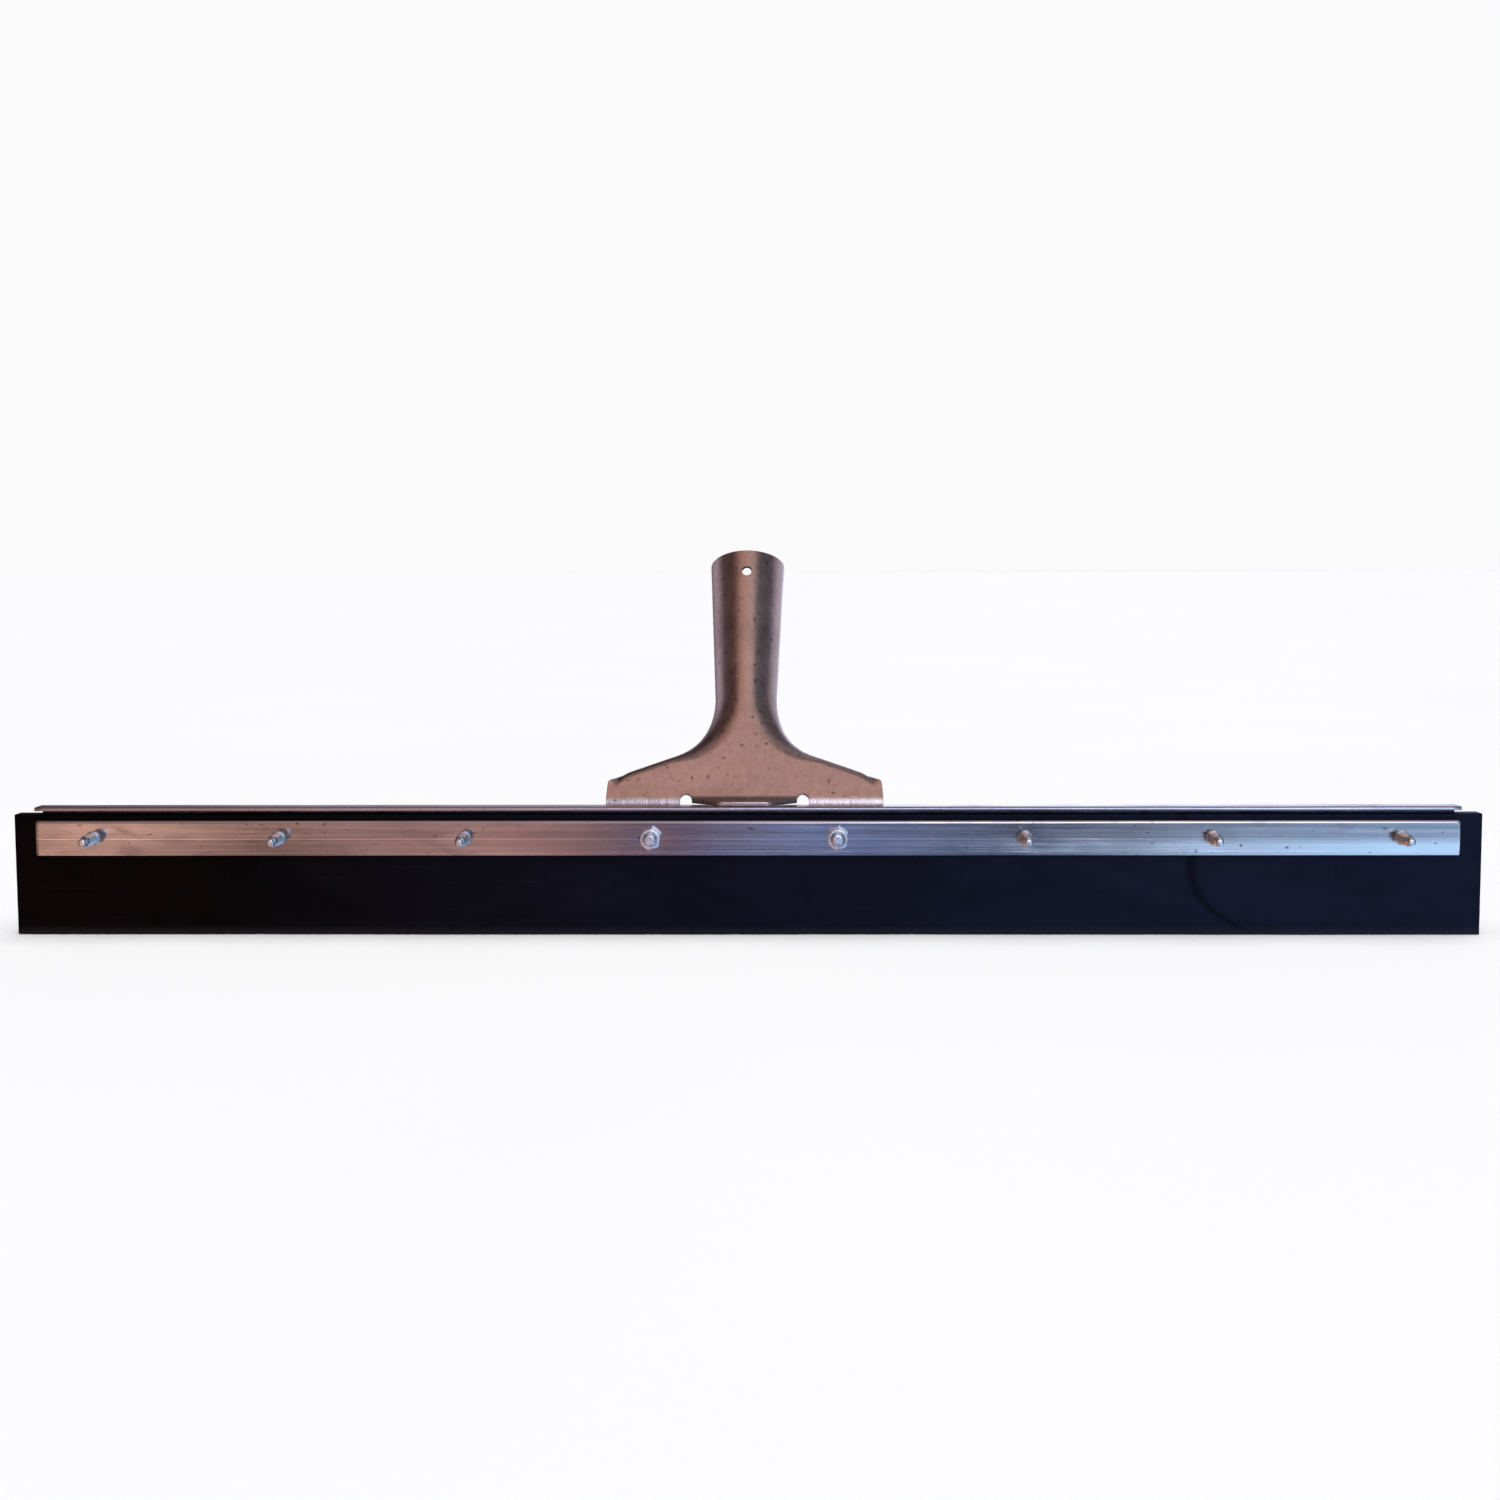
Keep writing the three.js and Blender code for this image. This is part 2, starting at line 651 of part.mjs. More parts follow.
const squeegee = new THREE.Group();
squeegee.name = 'floor_squeegee_head';
squeegee.add(named('frame_angle', frameAngle(), metal(STEEL, 0.4)));
squeegee.add(named('rubber_blade', rubberBlade(), rubber()));
squeegee.add(named('clamp_strip', clampStrip(), metal(STEEL, 0.35)));
squeegee.add(named('handle_socket', handleSocket(), metal(STEEL, 0.4)));
TAPPING_STATIONS.forEach((x, i) => {
  squeegee.add(named(`tapping_screw_${i + 1}`, tappingScrew(x), metal(ZINC, 0.3)));
});
NUT_STATIONS.forEach((x, i) => {
  squeegee.add(named(`machine_screw_${i + 1}`, machineScrew(x), metal(ZINC, 0.3)));
  squeegee.add(named(`hex_nut_${i + 1}`, hexNut(x), metal(ZINC, 0.3)));
});

export default squeegee;
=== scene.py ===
"""A straight floor squeegee head: rubber blade, frame angle, clamp strip, handle socket, screws, nuts."""

import json
import math
import random
from collections import namedtuple

import bpy
import bmesh
from mathutils import Matrix, Vector

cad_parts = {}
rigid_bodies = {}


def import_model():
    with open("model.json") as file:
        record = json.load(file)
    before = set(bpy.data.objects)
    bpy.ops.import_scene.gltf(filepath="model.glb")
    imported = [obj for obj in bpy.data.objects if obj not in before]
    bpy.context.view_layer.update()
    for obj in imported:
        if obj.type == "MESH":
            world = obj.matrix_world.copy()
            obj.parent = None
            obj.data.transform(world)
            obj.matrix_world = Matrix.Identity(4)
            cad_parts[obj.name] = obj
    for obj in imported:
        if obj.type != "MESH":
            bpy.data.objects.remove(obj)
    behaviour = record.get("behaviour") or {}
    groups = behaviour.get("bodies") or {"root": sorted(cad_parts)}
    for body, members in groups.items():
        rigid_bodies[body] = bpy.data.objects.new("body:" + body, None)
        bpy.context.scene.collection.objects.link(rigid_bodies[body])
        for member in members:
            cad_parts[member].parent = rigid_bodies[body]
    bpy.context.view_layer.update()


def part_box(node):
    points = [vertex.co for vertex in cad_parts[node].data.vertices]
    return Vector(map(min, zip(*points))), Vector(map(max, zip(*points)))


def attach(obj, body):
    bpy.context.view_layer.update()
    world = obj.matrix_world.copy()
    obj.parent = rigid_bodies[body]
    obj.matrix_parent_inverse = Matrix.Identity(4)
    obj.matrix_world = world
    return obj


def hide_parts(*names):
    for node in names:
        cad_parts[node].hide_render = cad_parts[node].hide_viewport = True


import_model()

MM = 0.001


# ---------------------------------------------------------------- node boxes


def box_mm(node):
    """Lowest and highest corner of a CAD node, in millimetres."""
    low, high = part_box(node)
    return [v * 1000 for v in low], [v * 1000 for v in high]


def axis_of(node):
    """x and z of a fastener's axis, in millimetres."""
    low, high = box_mm(node)
    return (low[0] + high[0]) / 2, (low[2] + high[2]) / 2


BLADE_LOW, BLADE_HIGH = box_mm("rubber_blade")
ANGLE_LOW, ANGLE_HIGH = box_mm("frame_angle")
STRIP_LOW, STRIP_HIGH = box_mm("clamp_strip")
SOCKET_LOW, SOCKET_HIGH = box_mm("handle_socket")
TAPPING = [f"tapping_screw_{i}" for i in range(1, 7)]
MACHINE = ["machine_screw_1", "machine_screw_2"]
NUTS = ["hex_nut_1", "hex_nut_2"]
SCREW_Z = axis_of("machine_screw_1")[1]
STATIONS = sorted(axis_of(node)[0] for node in TAPPING + MACHINE)
LEG_BACK = ANGLE_HIGH[1]


# -------------------------------------------------------------- node shaders


class Tree:
    """Short spellings for building a node tree."""

    def __init__(self, tree):
        self.tree = tree
        self.tree.nodes.clear()

    def new(self, kind, **settings):
        node = self.tree.nodes.new(kind)
        for key, value in settings.items():
            setattr(node, key, value)
        return node

    def link(self, source, target):
        self.tree.links.new(source, target)

    def feed(self, socket, value):
        """Gives an input another node's output, a colour or a number."""
        if isinstance(value, bpy.types.NodeSocket):
            self.link(value, socket)
        elif isinstance(value, tuple):
            socket.default_value = (*value, 1)
        else:
            socket.default_value = value

    def ramp(self, source, stops, interpolation="LINEAR"):
        """stops is [(position, grey or (r, g, b)), ...]."""
        node = self.new("ShaderNodeValToRGB")
        self.link(source, node.inputs["Fac"])
        node.color_ramp.interpolation = interpolation
        elements = node.color_ramp.elements
        while len(elements) > 1:
            elements.remove(elements[-1])
        for i, (place, value) in enumerate(stops):
            element = elements[0] if i == 0 else elements.new(place)
            element.position = place
            rgb = value if isinstance(value, tuple) else (value, value, value)
            element.color = (*rgb, 1)
        return node.outputs["Color"]

    def rise(self, source, start, end, peak=1.0):
        """0 up to start, peak from end on."""
        return self.ramp(source, [(start, 0.0), (end, peak)])

    def fall(self, source, start, end):
        """1 up to start, 0 from end on."""
        return self.ramp(source, [(start, 1.0), (end, 0.0)])

    def remap(self, source, low, high):
        """0 at low, 1 at high."""
        node = self.new("ShaderNodeMapRange")
        self.link(source, node.inputs[0])
        node.inputs[1].default_value = low
        node.inputs[2].default_value = high
        return node.outputs[0]

    def mix(self, factor, a, b, blend="MIX"):
        """a and b are colours or sockets; factor is a number or a socket."""
        node = self.new("ShaderNodeMix", data_type="RGBA", blend_type=blend)
        self.feed(node.inputs[0], factor)
        self.feed(node.inputs[6], a)
        self.feed(node.inputs[7], b)
        return node.outputs[2]

    def math(self, operation, a, b=0.0, c=0.5):
        """Each value is a number or a socket."""
        node = self.new("ShaderNodeMath", operation=operation)
        for socket, value in zip(node.inputs, (a, b, c)):
            self.feed(socket, value)
        return node.outputs[0]


class Material(Tree):
    """A material's tree, ending in one principled shader with the given settings."""

    def __init__(self, name, **settings):
        self.material = bpy.data.materials.new(name)
        self.material.use_nodes = True
        super().__init__(self.material.node_tree)
        self.shader = self.new("ShaderNodeBsdfPrincipled")
        self.link(self.shader.outputs[0], self.new("ShaderNodeOutputMaterial").inputs[0])
        for key, value in settings.items():
            self.shader.inputs[key.replace("_", " ")].default_value = value
        self.position = self.new("ShaderNodeTexCoord").outputs["Object"]

    def axis(self, name):
        """Object position along one axis, in metres."""
        node = self.new("ShaderNodeSeparateXYZ")
        self.link(self.position, node.inputs[0])
        return node.outputs[name]

    def noise(self, scale, detail, roughness, distortion=0.0, shift=(0, 0, 0)):
        """Noise about 0.5; scale is how fine it is along each axis, per metre."""
        placed = self.new("ShaderNodeMapping")
        self.link(self.position, placed.inputs["Vector"])
        placed.inputs["Scale"].default_value = scale
        placed.inputs["Location"].default_value = shift
        node = self.new("ShaderNodeTexNoise")
        self.link(placed.outputs[0], node.inputs["Vector"])
        node.inputs["Scale"].default_value = 1.0
        node.inputs["Detail"].default_value = detail
        node.inputs["Roughness"].default_value = roughness
        node.inputs["Distortion"].default_value = distortion
        return node.outputs["Fac"]

    def bump(self, height, distance, strength, under=None):
        """Relief distance metres deep, on top of the relief under it."""
        node = self.new("ShaderNodeBump")
        node.inputs["Strength"].default_value = strength
        node.inputs["Distance"].default_value = distance
        self.link(height, node.inputs["Height"])
        if under is not None:
            self.link(under, node.inputs["Normal"])
        return node.outputs[0]

    def finish(self, colour, roughness, normal):
        self.link(colour, self.shader.inputs["Base Color"])
        self.link(roughness, self.shader.inputs["Roughness"])
        self.link(normal, self.shader.inputs["Normal"])
        return self.material


def sheet_steel(name, base, rough, grain, smudge, speckle, seed):
    """Rolled sheet steel; grain is how fine its streaks are along each axis, per metre."""
    n = Material(name, Metallic=1.0)
    shift = (seed * 1.7, seed * 2.3, seed * 3.1)
    streaks = n.noise(grain, 5.0, 0.62, shift=shift)
    broad = n.noise((9, 40, 40), 3.0, 0.55, 0.4, shift)
    cloud = n.noise((38, 60, 60), 5.0, 0.6, 0.8, shift)
    grit = n.noise((1500, 1500, 1500), 2.0, 0.6, shift=shift)
    pits = n.noise((420, 420, 420), 2.0, 0.4, shift=shift)
    dark = tuple(c * (1 - 0.30 * smudge) for c in base)
    light = tuple(min(1.0, c * (1 + 0.10 * smudge)) for c in base)
    stain = tuple(c * f for c, f in zip(base, (0.62, 0.58, 0.60)))
    colour = n.mix(n.rise(broad, 0.34, 0.68), dark, light)
    colour = n.mix(n.rise(cloud, 0.60, 0.80, 0.55 * smudge), colour, stain)
    line = n.ramp(streaks, [(0.30, 0.80), (0.52, 1.0), (0.75, 1.14)])
    colour = n.mix(0.75, colour, line, "MULTIPLY")
    spots = n.math("MULTIPLY", n.fall(pits, 0.26, 0.33), 0.5 * speckle)
    colour = n.mix(spots, colour, tuple(c * 0.35 for c in base))
    flecks = n.math("MULTIPLY", n.rise(grit, 0.60, 0.78), 0.35 * speckle)
    colour = n.mix(flecks, colour, (0.92, 0.88, 0.84))
    patch = n.ramp(cloud, [(0.30, rough - 0.07), (0.55, rough), (0.80, rough + 0.14)])
    roughness = n.mix(n.rise(streaks, 0.35, 0.7, 0.6), patch, (rough + 0.10,) * 3)
    height = n.bump(streaks, 0.00010, 0.5)
    height = n.bump(grit, 0.00005, 0.6 * speckle, height)
    height = n.bump(cloud, 0.0006, 0.25, height)
    return n.finish(colour, roughness, height)


LINE_DROP = 0.0003  # the strip's faint line below its middle, metres
LINE_HALF = 0.00022


def strip_steel():
    """Rolled bar with streaks along it, one faint line, and a painted reflection: a brighter lower band to
    the right.
    """
    n = Material("strip_steel", Metallic=1.0)
    fine = n.noise((14, 900, 900), 4.0, 0.6)
    coarse = n.noise((3.5, 260, 260), 3.0, 0.5, shift=(4, 1, 2))
    blotch = n.noise((26, 60, 80), 5.0, 0.62, 1.2, (1, 5, 3))
    wipe = n.noise((8, 30, 30), 2.0, 0.5, 0.5, (7, 2, 6))
    nicks = n.noise((330, 500, 500), 2.0, 0.4, shift=(2, 8, 1))
    fine_line = n.ramp(fine, [(0.28, 0.74), (0.52, 1.0), (0.74, 1.16)])
    coarse_line = n.ramp(coarse, [(0.30, 0.78), (0.55, 1.02), (0.72, 1.12)])
    colour = n.mix(n.rise(wipe, 0.32, 0.70), (0.42, 0.39, 0.40), (0.60, 0.57, 0.57))
    colour = n.mix(n.rise(blotch, 0.52, 0.72, 0.62), colour, (0.30, 0.26, 0.28))
    colour = n.mix(0.85, colour, fine_line, "MULTIPLY")
    colour = n.mix(0.8, colour, coarse_line, "MULTIPLY")
    middle = (STRIP_LOW[2] + STRIP_HIGH[2]) / 2 * MM - LINE_DROP
    below = n.math("SUBTRACT", middle, n.axis("Z"))
    seam = n.math("LESS_THAN", n.math("ABSOLUTE", below), LINE_HALF)
    seam = n.math("MULTIPLY", seam, n.ramp(wipe, [(0.25, 0.35), (0.6, 0.9)]))
    colour = n.mix(seam, colour, (0.78, 0.76, 0.78))
    # Painted reflection: the lower part of the bar is lightened towards the right, standing in for a
    # bright source mirrored there.
    bottom = n.rise(n.math("MULTIPLY", below, 400.0), 0.0, 0.9)
    rightward = n.rise(n.math("MULTIPLY", n.axis("X"), 3.4), 0.18, 0.62)
    colour = n.mix(n.math("MULTIPLY", bottom, rightward), colour, (0.86, 0.87, 0.86))
    marks = n.fall(nicks, 0.22, 0.29)
    colour = n.mix(n.math("MULTIPLY", marks, 0.8), colour, (0.12, 0.10, 0.10))
    patch = n.ramp(blotch, [(0.30, 0.11), (0.55, 0.16), (0.80, 0.28)])
    roughness = n.mix(n.rise(fine, 0.35, 0.7, 0.4), patch, (0.24, 0.24, 0.24))
    height = n.bump(fine, 0.00010, 0.45)
    height = n.bump(coarse, 0.00035, 0.30, height)
    height = n.bump(marks, 0.0002, -0.5, height)
    return n.finish(colour, roughness, height)


def zinc_plate():
    """Bright plating with a slight grain, for the screws and nuts."""
    n = Material("zinc_plate", Metallic=1.0)
    cloud = n.noise((260, 260, 260), 3.0, 0.55)
    fine = n.noise((1500, 1500, 1500), 3.0, 0.6)
    colour = n.mix(n.rise(cloud, 0.35, 0.65), (0.72, 0.75, 0.80), (0.93, 0.95, 0.98))
    colour = n.mix(n.rise(fine, 0.66, 0.80, 0.5), colour, (0.36, 0.35, 0.34))
    roughness = n.ramp(fine, [(0.3, 0.20), (0.7, 0.36)])
    return n.finish(colour, roughness, n.bump(fine, 0.00004, 0.6))


CREASE_X = 0.185  # where the crease leaves the strip, metres
CREASE_SPAN = 0.030  # its drop down the blade
CREASE_BOW = 0.020  # how far it has curved aside by then
CREASE_SHARPNESS = 200.0


def crease_in(n):
    """1 on the curved crease low on the right of the blade, 0 away from it."""
    below = n.math("SUBTRACT", STRIP_LOW[2] * MM, n.axis("Z"))
    share = n.math("MULTIPLY", below, 1 / CREASE_SPAN)
    bow = n.math("MULTIPLY", n.math("POWER", share, 3.0), CREASE_BOW)
    aside = n.math("SUBTRACT", n.math("SUBTRACT", n.axis("X"), CREASE_X), bow)
    wide = n.math("MULTIPLY", n.math("ABSOLUTE", aside), CREASE_SHARPNESS)
    return n.ramp(wide, [(0.0, 1.0), (0.70, 0.0)], "EASE")


def black_rubber():
    """Moulded rubber with scuffs, smears and a crease; its warm black at the left turning bluish at the
    right is a painted reflection, and the crease's darker colour is painted shade.
    """
    n = Material("black_rubber", Metallic=0.0, IOR=1.5, Specular_IOR_Level=0.05)
    fine = n.noise((900, 900, 1300), 3.0, 0.6)
    along = n.noise((16, 200, 520), 5.0, 0.6)
    down = n.noise((70, 60, 16), 4.0, 0.6, 1.5, (3, 1, 2))
    dust = n.noise((12, 30, 30), 6.0, 0.65, 0.8, (1, 7, 4))
    crease = crease_in(n)
    # Painted reflection: the colour runs from warm black at the left to bluish at the right, as a cool
    # light mirrored in the rubber would show.
    painted_sheen = n.rise(n.math("MULTIPLY_ADD", n.axis("X"), 1.6, 0.5), 0.15, 0.95)
    base = n.mix(painted_sheen, (0.0016, 0.0005, 0.0005), (0.0036, 0.0062, 0.0200))
    dusty = n.mix(1.0, base, (1.9, 1.8, 1.7), "MULTIPLY")
    colour = n.mix(n.rise(dust, 0.40, 0.72), base, dusty)
    # Painted shade: the colour is darkened along the crease, besides its bump.
    colour = n.mix(n.math("MULTIPLY", crease, 0.7), colour, (0.0012, 0.0010, 0.0022))
    colour = n.mix(n.rise(along, 0.62, 0.80, 0.35), colour, (0.014, 0.014, 0.020))
    colour = n.mix(n.rise(down, 0.66, 0.74, 0.8), colour, (0.003, 0.003, 0.004))
    lower_edge = n.math("MULTIPLY", n.fall(n.axis("Z"), 0.0, 0.004), 0.35)
    colour = n.mix(lower_edge, colour, (0.035, 0.034, 0.036))
    roughness = n.ramp(down, [(0.30, 0.40), (0.60, 0.48), (0.75, 0.65)])
    roughness = n.mix(n.rise(along, 0.55, 0.8, 0.6), roughness, (0.74, 0.74, 0.74))
    height = n.bump(fine, 0.00006, 0.6)
    height = n.bump(along, 0.00012, 0.35, height)
    height = n.bump(down, 0.0008, 0.2, height)
    height = n.bump(crease, 0.0006, -0.4, height)
    return n.finish(colour, roughness, height)


SOCKET_STEEL = sheet_steel("socket_steel", (0.66, 0.54, 0.49), 0.25, (420, 420, 90), 0.55, 1.9, 1.0)
ANGLE_STEEL = sheet_steel("frame_steel", (0.56, 0.53, 0.56), 0.24, (16, 700, 700), 0.8, 0.7, 2.0)
STRIP_STEEL = strip_steel()
ZINC = zinc_plate()
RUBBER = black_rubber()


# --------------------------------------------------------------- mesh helpers


def closed_mesh(name, verts, faces):
    """A mesh from points in millimetres, its faces turned outwards."""
    mesh = bpy.data.meshes.new(name)
    mesh.from_pydata([Vector(v) * MM for v in verts], [], faces)
    bm = bmesh.new()
    bm.from_mesh(mesh)
    bmesh.ops.remove_doubles(bm, verts=bm.verts, dist=1e-7)
    bmesh.ops.dissolve_degenerate(bm, edges=bm.edges, dist=1e-7)
    bmesh.ops.recalc_face_normals(bm, faces=bm.faces)
    bm.to_mesh(mesh)
    bm.free()
    return mesh


def shade(mesh, sharp):
    """Smooth where it is round, crisp at edges of more than sharp degrees."""
    mesh.polygons.foreach_set("use_smooth", [True] * len(mesh.polygons))
    mesh.set_sharp_from_angle(angle=math.radians(sharp))


def add_object(name, data):
    """A new object in the scene."""
    obj = bpy.data.objects.new(name, data)
    bpy.context.scene.collection.objects.link(obj)
    return obj


def piece(name, verts, faces, material, nodes, sharp=38):
    """A finished piece from points in millimetres."""
    mesh = closed_mesh(name, verts, faces)
    mesh.materials.append(material)
    shade(mesh, sharp)
    obj = add_object(name, mesh)
    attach(obj, "root")
    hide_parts(*nodes)
    return obj


def skin(rings, looped=False):
    """Vertices and faces of a tube through equal rings, its ends capped or joined to each other."""
    count = len(rings[0])
    last = (len(rings) - 1) * count
    verts = [p for ring in rings for p in ring]
    faces = []
    for i in range(len(rings) - 1):
        for j in range(count):
            a, b = i * count + j, i * count + (j + 1) % count
            faces.append((a, b, b + count, a + count))
    if looped:
        faces += [(j, (j + 1) % count, last + (j + 1) % count, last + j) for j in range(count)]
    else:
        faces.append(tuple(range(count - 1, -1, -1)))
        faces.append(tuple(range(last, last + count)))
    return verts, faces


def arc(cy, cz, ry, rz, start, end, steps):
    """Points on an elliptic arc in a (y, z) section, angles in degrees."""
    points = []
    for i in range(steps + 1):
        a = math.radians(start + (end - start) * i / steps)
        points.append((cy + ry * math.cos(a), cz + rz * math.sin(a)))
    return points


def shrunk(outline, amount):
    """The outline moved inwards; it runs anticlockwise."""
    moved = []
    count = len(outline)
    for i, (y, z) in enumerate(outline):
        py, pz = outline[i - 1]
        ny, nz = outline[(i + 1) % count]
        ty, tz = ny - py, nz - pz
        length = math.hypot(ty, tz) or 1.0
        moved.append((y - tz / length * amount, z + ty / length * amount))
    return moved


def bar(name, outline, x0, x1, steps, material, nodes, wobble, edge):
    """A bar along X with the given (y, z) section and broken ends; wobble moves each point."""
    places = [(x0, edge), (x0 + edge * 0.3, edge * 0.3), (x0 + edge, 0.0)]
    places += [(x0 + edge + (x1 - x0 - 2 * edge) * i / steps, 0.0) for i in range(1, steps)]
    places += [(x1 - edge, 0.0), (x1 - edge * 0.3, edge * 0.3), (x1, edge)]
    rings = []
    for x, inset in places:
        section = shrunk(outline, inset) if inset else outline
        rings.append([wobble((x, y, z)) for y, z in section])
    verts, faces = skin(rings)
    return piece(name, verts, faces, material, nodes)


WAVE_PEAK = 1.83  # the three waves' heights together


def wave(x, seed, lengths):
    """A smooth repeatable wobble between about -1 and 1, from three wave lengths."""
    total = 0.0
    for k, length in enumerate(lengths):
        total += math.sin(x / length * 2 * math.pi + seed * (k + 1.3)) / (k + 1)
    return total / WAVE_PEAK


# --------------------------------------------------------------- rubber blade


def rubber_blade():
    r = 0.45
    y0, y1 = BLADE_LOW[1], BLADE_HIGH[1]
    z0, z1 = BLADE_LOW[2], BLADE_HIGH[2]
    outline = (
        arc(y0 + r, z0 + r, r, r, 180, 270, 4)
        + arc(y1 - r, z0 + r, r, r, 270, 360, 4)
        + [(y1, z0 + (z1 - z0) * k / 8) for k in range(1, 8)]
        + arc(y1 - r, z1 - r, r, r, 0, 90, 4)
        + arc(y0 + r, z1 - r, r, r, 90, 180, 4)
        + [(y0, z1 - (z1 - z0) * k / 12) for k in range(1, 12)]
    )
    rough = random.Random(7)
    nibble = {}

    def wobble(p):
        """A slightly ragged lower edge, and a sway that grows below the strip."""
        x, y, z = p
        if x not in nibble:
            nibble[x] = rough.uniform(0.0, 0.22)
        low = max(0.0, 1.0 - (z - z0) / 2.0)
        free = max(0.0, min(1.0, (STRIP_LOW[2] - z) / 30.0))
        lift = low * (0.12 + 0.12 * wave(x, 2.0, (37.0, 11.0, 4.1)) + nibble[x] * 0.7)
        slow = 0.35 * wave(x, 5.0, (310.0, 120.0, 47.0))
        quick = 0.10 * wave(x + 3 * z, 1.0, (35.0, 17.0, 8.0))
        return (x, y + free * (slow + quick), z + max(0.0, lift))

    return bar("blade", outline, BLADE_LOW[0], BLADE_HIGH[0], 420, RUBBER,
               ["rubber_blade"], wobble, 0.5)


# ------------------------------------------------------------ angle and strip


def frame_angle():
    sheet, bend, nose, r = 1.6, 3.0, 0.9, 0.3
    front, back = ANGLE_LOW[1], ANGLE_HIGH[1]
    bottom, top = ANGLE_LOW[2], ANGLE_HIGH[2]
    leg = back - sheet
    outline = (
        arc(leg + r, bottom + r, r, r, 180, 270, 3)
        + arc(back - r, bottom + r, r, r, 270, 360, 3)
        + arc(back - bend, top - bend, bend, bend, 0, 90, 14)
        + arc(front + nose, top - nose, nose, nose, 90, 180, 8)
        + arc(front + r, top - sheet + r, r, r, 180, 270, 3)
        + arc(back - bend, top - bend, bend - sheet, bend - sheet, 90, 0, 6)
    )
    flange = top - 4

    def wobble(p):
        """The flange isn't quite flat."""
        x, y, z = p
        rise = 0.05 * wave(x, 3.0, (190.0, 83.0, 31.0)) if z > flange else 0.0
        return (x, y, z + rise)

    return bar("angle_frame", outline, ANGLE_LOW[0], ANGLE_HIGH[0], 160, ANGLE_STEEL,
               ["frame_angle"], wobble, 0.3)


def clamp_strip():
    rise, depth = 1.5, 0.9
    y0, y1 = STRIP_LOW[1], STRIP_HIGH[1]
    z0, z1 = STRIP_LOW[2], STRIP_HIGH[2]
    middle = (z0 + z1) / 2
    face = [(y0, z1 - rise - (z1 - z0 - 2 * rise) * k / 10) for k in range(1, 10)]
    outline = (
        arc(y0 + depth, z0 + rise, depth, rise, 180, 270, 9)
        + arc(y1 - depth, z0 + rise, depth, rise, 270, 360, 9)
        + arc(y1 - depth, z1 - rise, depth, rise, 0, 90, 9)
        + arc(y0 + depth, z1 - rise, depth, rise, 90, 180, 9)
        + face
    )

    def wobble(p):
        """The front face is a little hollow, with a dimple at each screw."""
        x, y, z = p
        if y > y0 + 0.01:
            return p
        near = min(abs(x - s) for s in STATIONS)
        dimple = 0.10 * math.exp(-((near / 7.0) ** 2)) * math.exp(-(((z - SCREW_Z) / 4.0) ** 2))
        hollow = 0.06 * (1 - ((z - middle) / (z1 - z0) * 2) ** 2)
        return (x, y + dimple + hollow, z)

    return bar("clamp_bar", outline, STRIP_LOW[0], STRIP_HIGH[0], 590, STRIP_STEEL,
               ["clamp_strip"], wobble, 0.3)


# -------------------------------------------------------------- handle socket

# Millimetres. A place on the leaning face is x from its middle and s up it, from the line where its
# plane meets the plane of the feet.
SHEET = 1.8
LEAN = math.radians(30)
BEND_Z = 55.4
FOOT_BEND = 8.0
FOOT_BOTTOM = SOCKET_LOW[2]
FOOT_OUTER = SOCKET_HIGH[0]
FOOT_CORNER = 4.0
NOTCH_X, NOTCH_R, NOTCH_TOP = 24.5, 2.8, 58.1
CORNER = (57.0, 9.25)
CORNER_DROP = 2.0
SHOULDER = (33.85, 20.0)
SHOULDER_PULL, NECK_PULL = 11.4, 17.1
NECK_R, NECK_S = 13.5, 52.7
MOUTH_R, MOUTH_S = 16.7, 120.7
ROLL_R = 4.2
ROLL_RUNOUT = 0.36
ROLL_STEPS = 48
SEAM = math.radians(178.4)
HOLE_R, HOLE_S = 2.4, 110.4
HOLE_WINDOW = 3.6
HOLE_COLUMNS = 4
TAB_Z = ANGLE_HIGH[2] + 0.3 + SHEET
TAB_BEND = 2.5
TAB_FRONT = SOCKET_LOW[1]
TAB_CORNER_X, TAB_FRONT_X, TAB_CORNER_RUN = 12.0, 8.7, 1.3
TAB_FLARE = 1.2
RIM_LIP = 0.22
NEAR = 1e-6
UP = (math.sin(LEAN), math.cos(LEAN))
BACK = (math.cos(LEAN), -math.sin(LEAN))
SLOPE_S = CORNER[1] + CORNER_DROP
SLOPE = math.atan2(SHOULDER[1] - SLOPE_S, CORNER[0] - SHOULDER[0])

# A place on the half outline, with the way inwards and the radius and angle of the edge's roll there.
Station = namedtuple("Station", "x s inward radius angle")


def mix(a, b, t):
    return a + (b - a) * t


def smooth(t):
    c = min(1.0, max(0.0, t))
    return c * c * (3 - 2 * c)


def tube_radius(s):
    return mix(NECK_R, MOUTH_R, (s - NECK_S) / (MOUTH_S - NECK_S))


HOLE_TUBE_R = tube_radius(HOLE_S)


def leaning(x, s, depth, back=(0.0, 0.0, 1.0)):
    """A sheet point s up the leaning face and depth behind it, with its direction to the back face."""
    point = (x, LEG_BACK + s * UP[0] + depth * BACK[0], BEND_Z + s * UP[1] + depth * BACK[1])
    normal = (back[0], back[1] * UP[0] + back[2] * BACK[0], back[1] * UP[1] + back[2] * BACK[1])
    return point, normal


def bezier(p0, p1, p2, p3, t):
    u = 1 - t
    weights = (u ** 3, 3 * u * u * t, 3 * u * t * t, t ** 3)
    return tuple(sum(w * p[k] for w, p in zip(weights, (p0, p1, p2, p3))) for k in (0, 1))


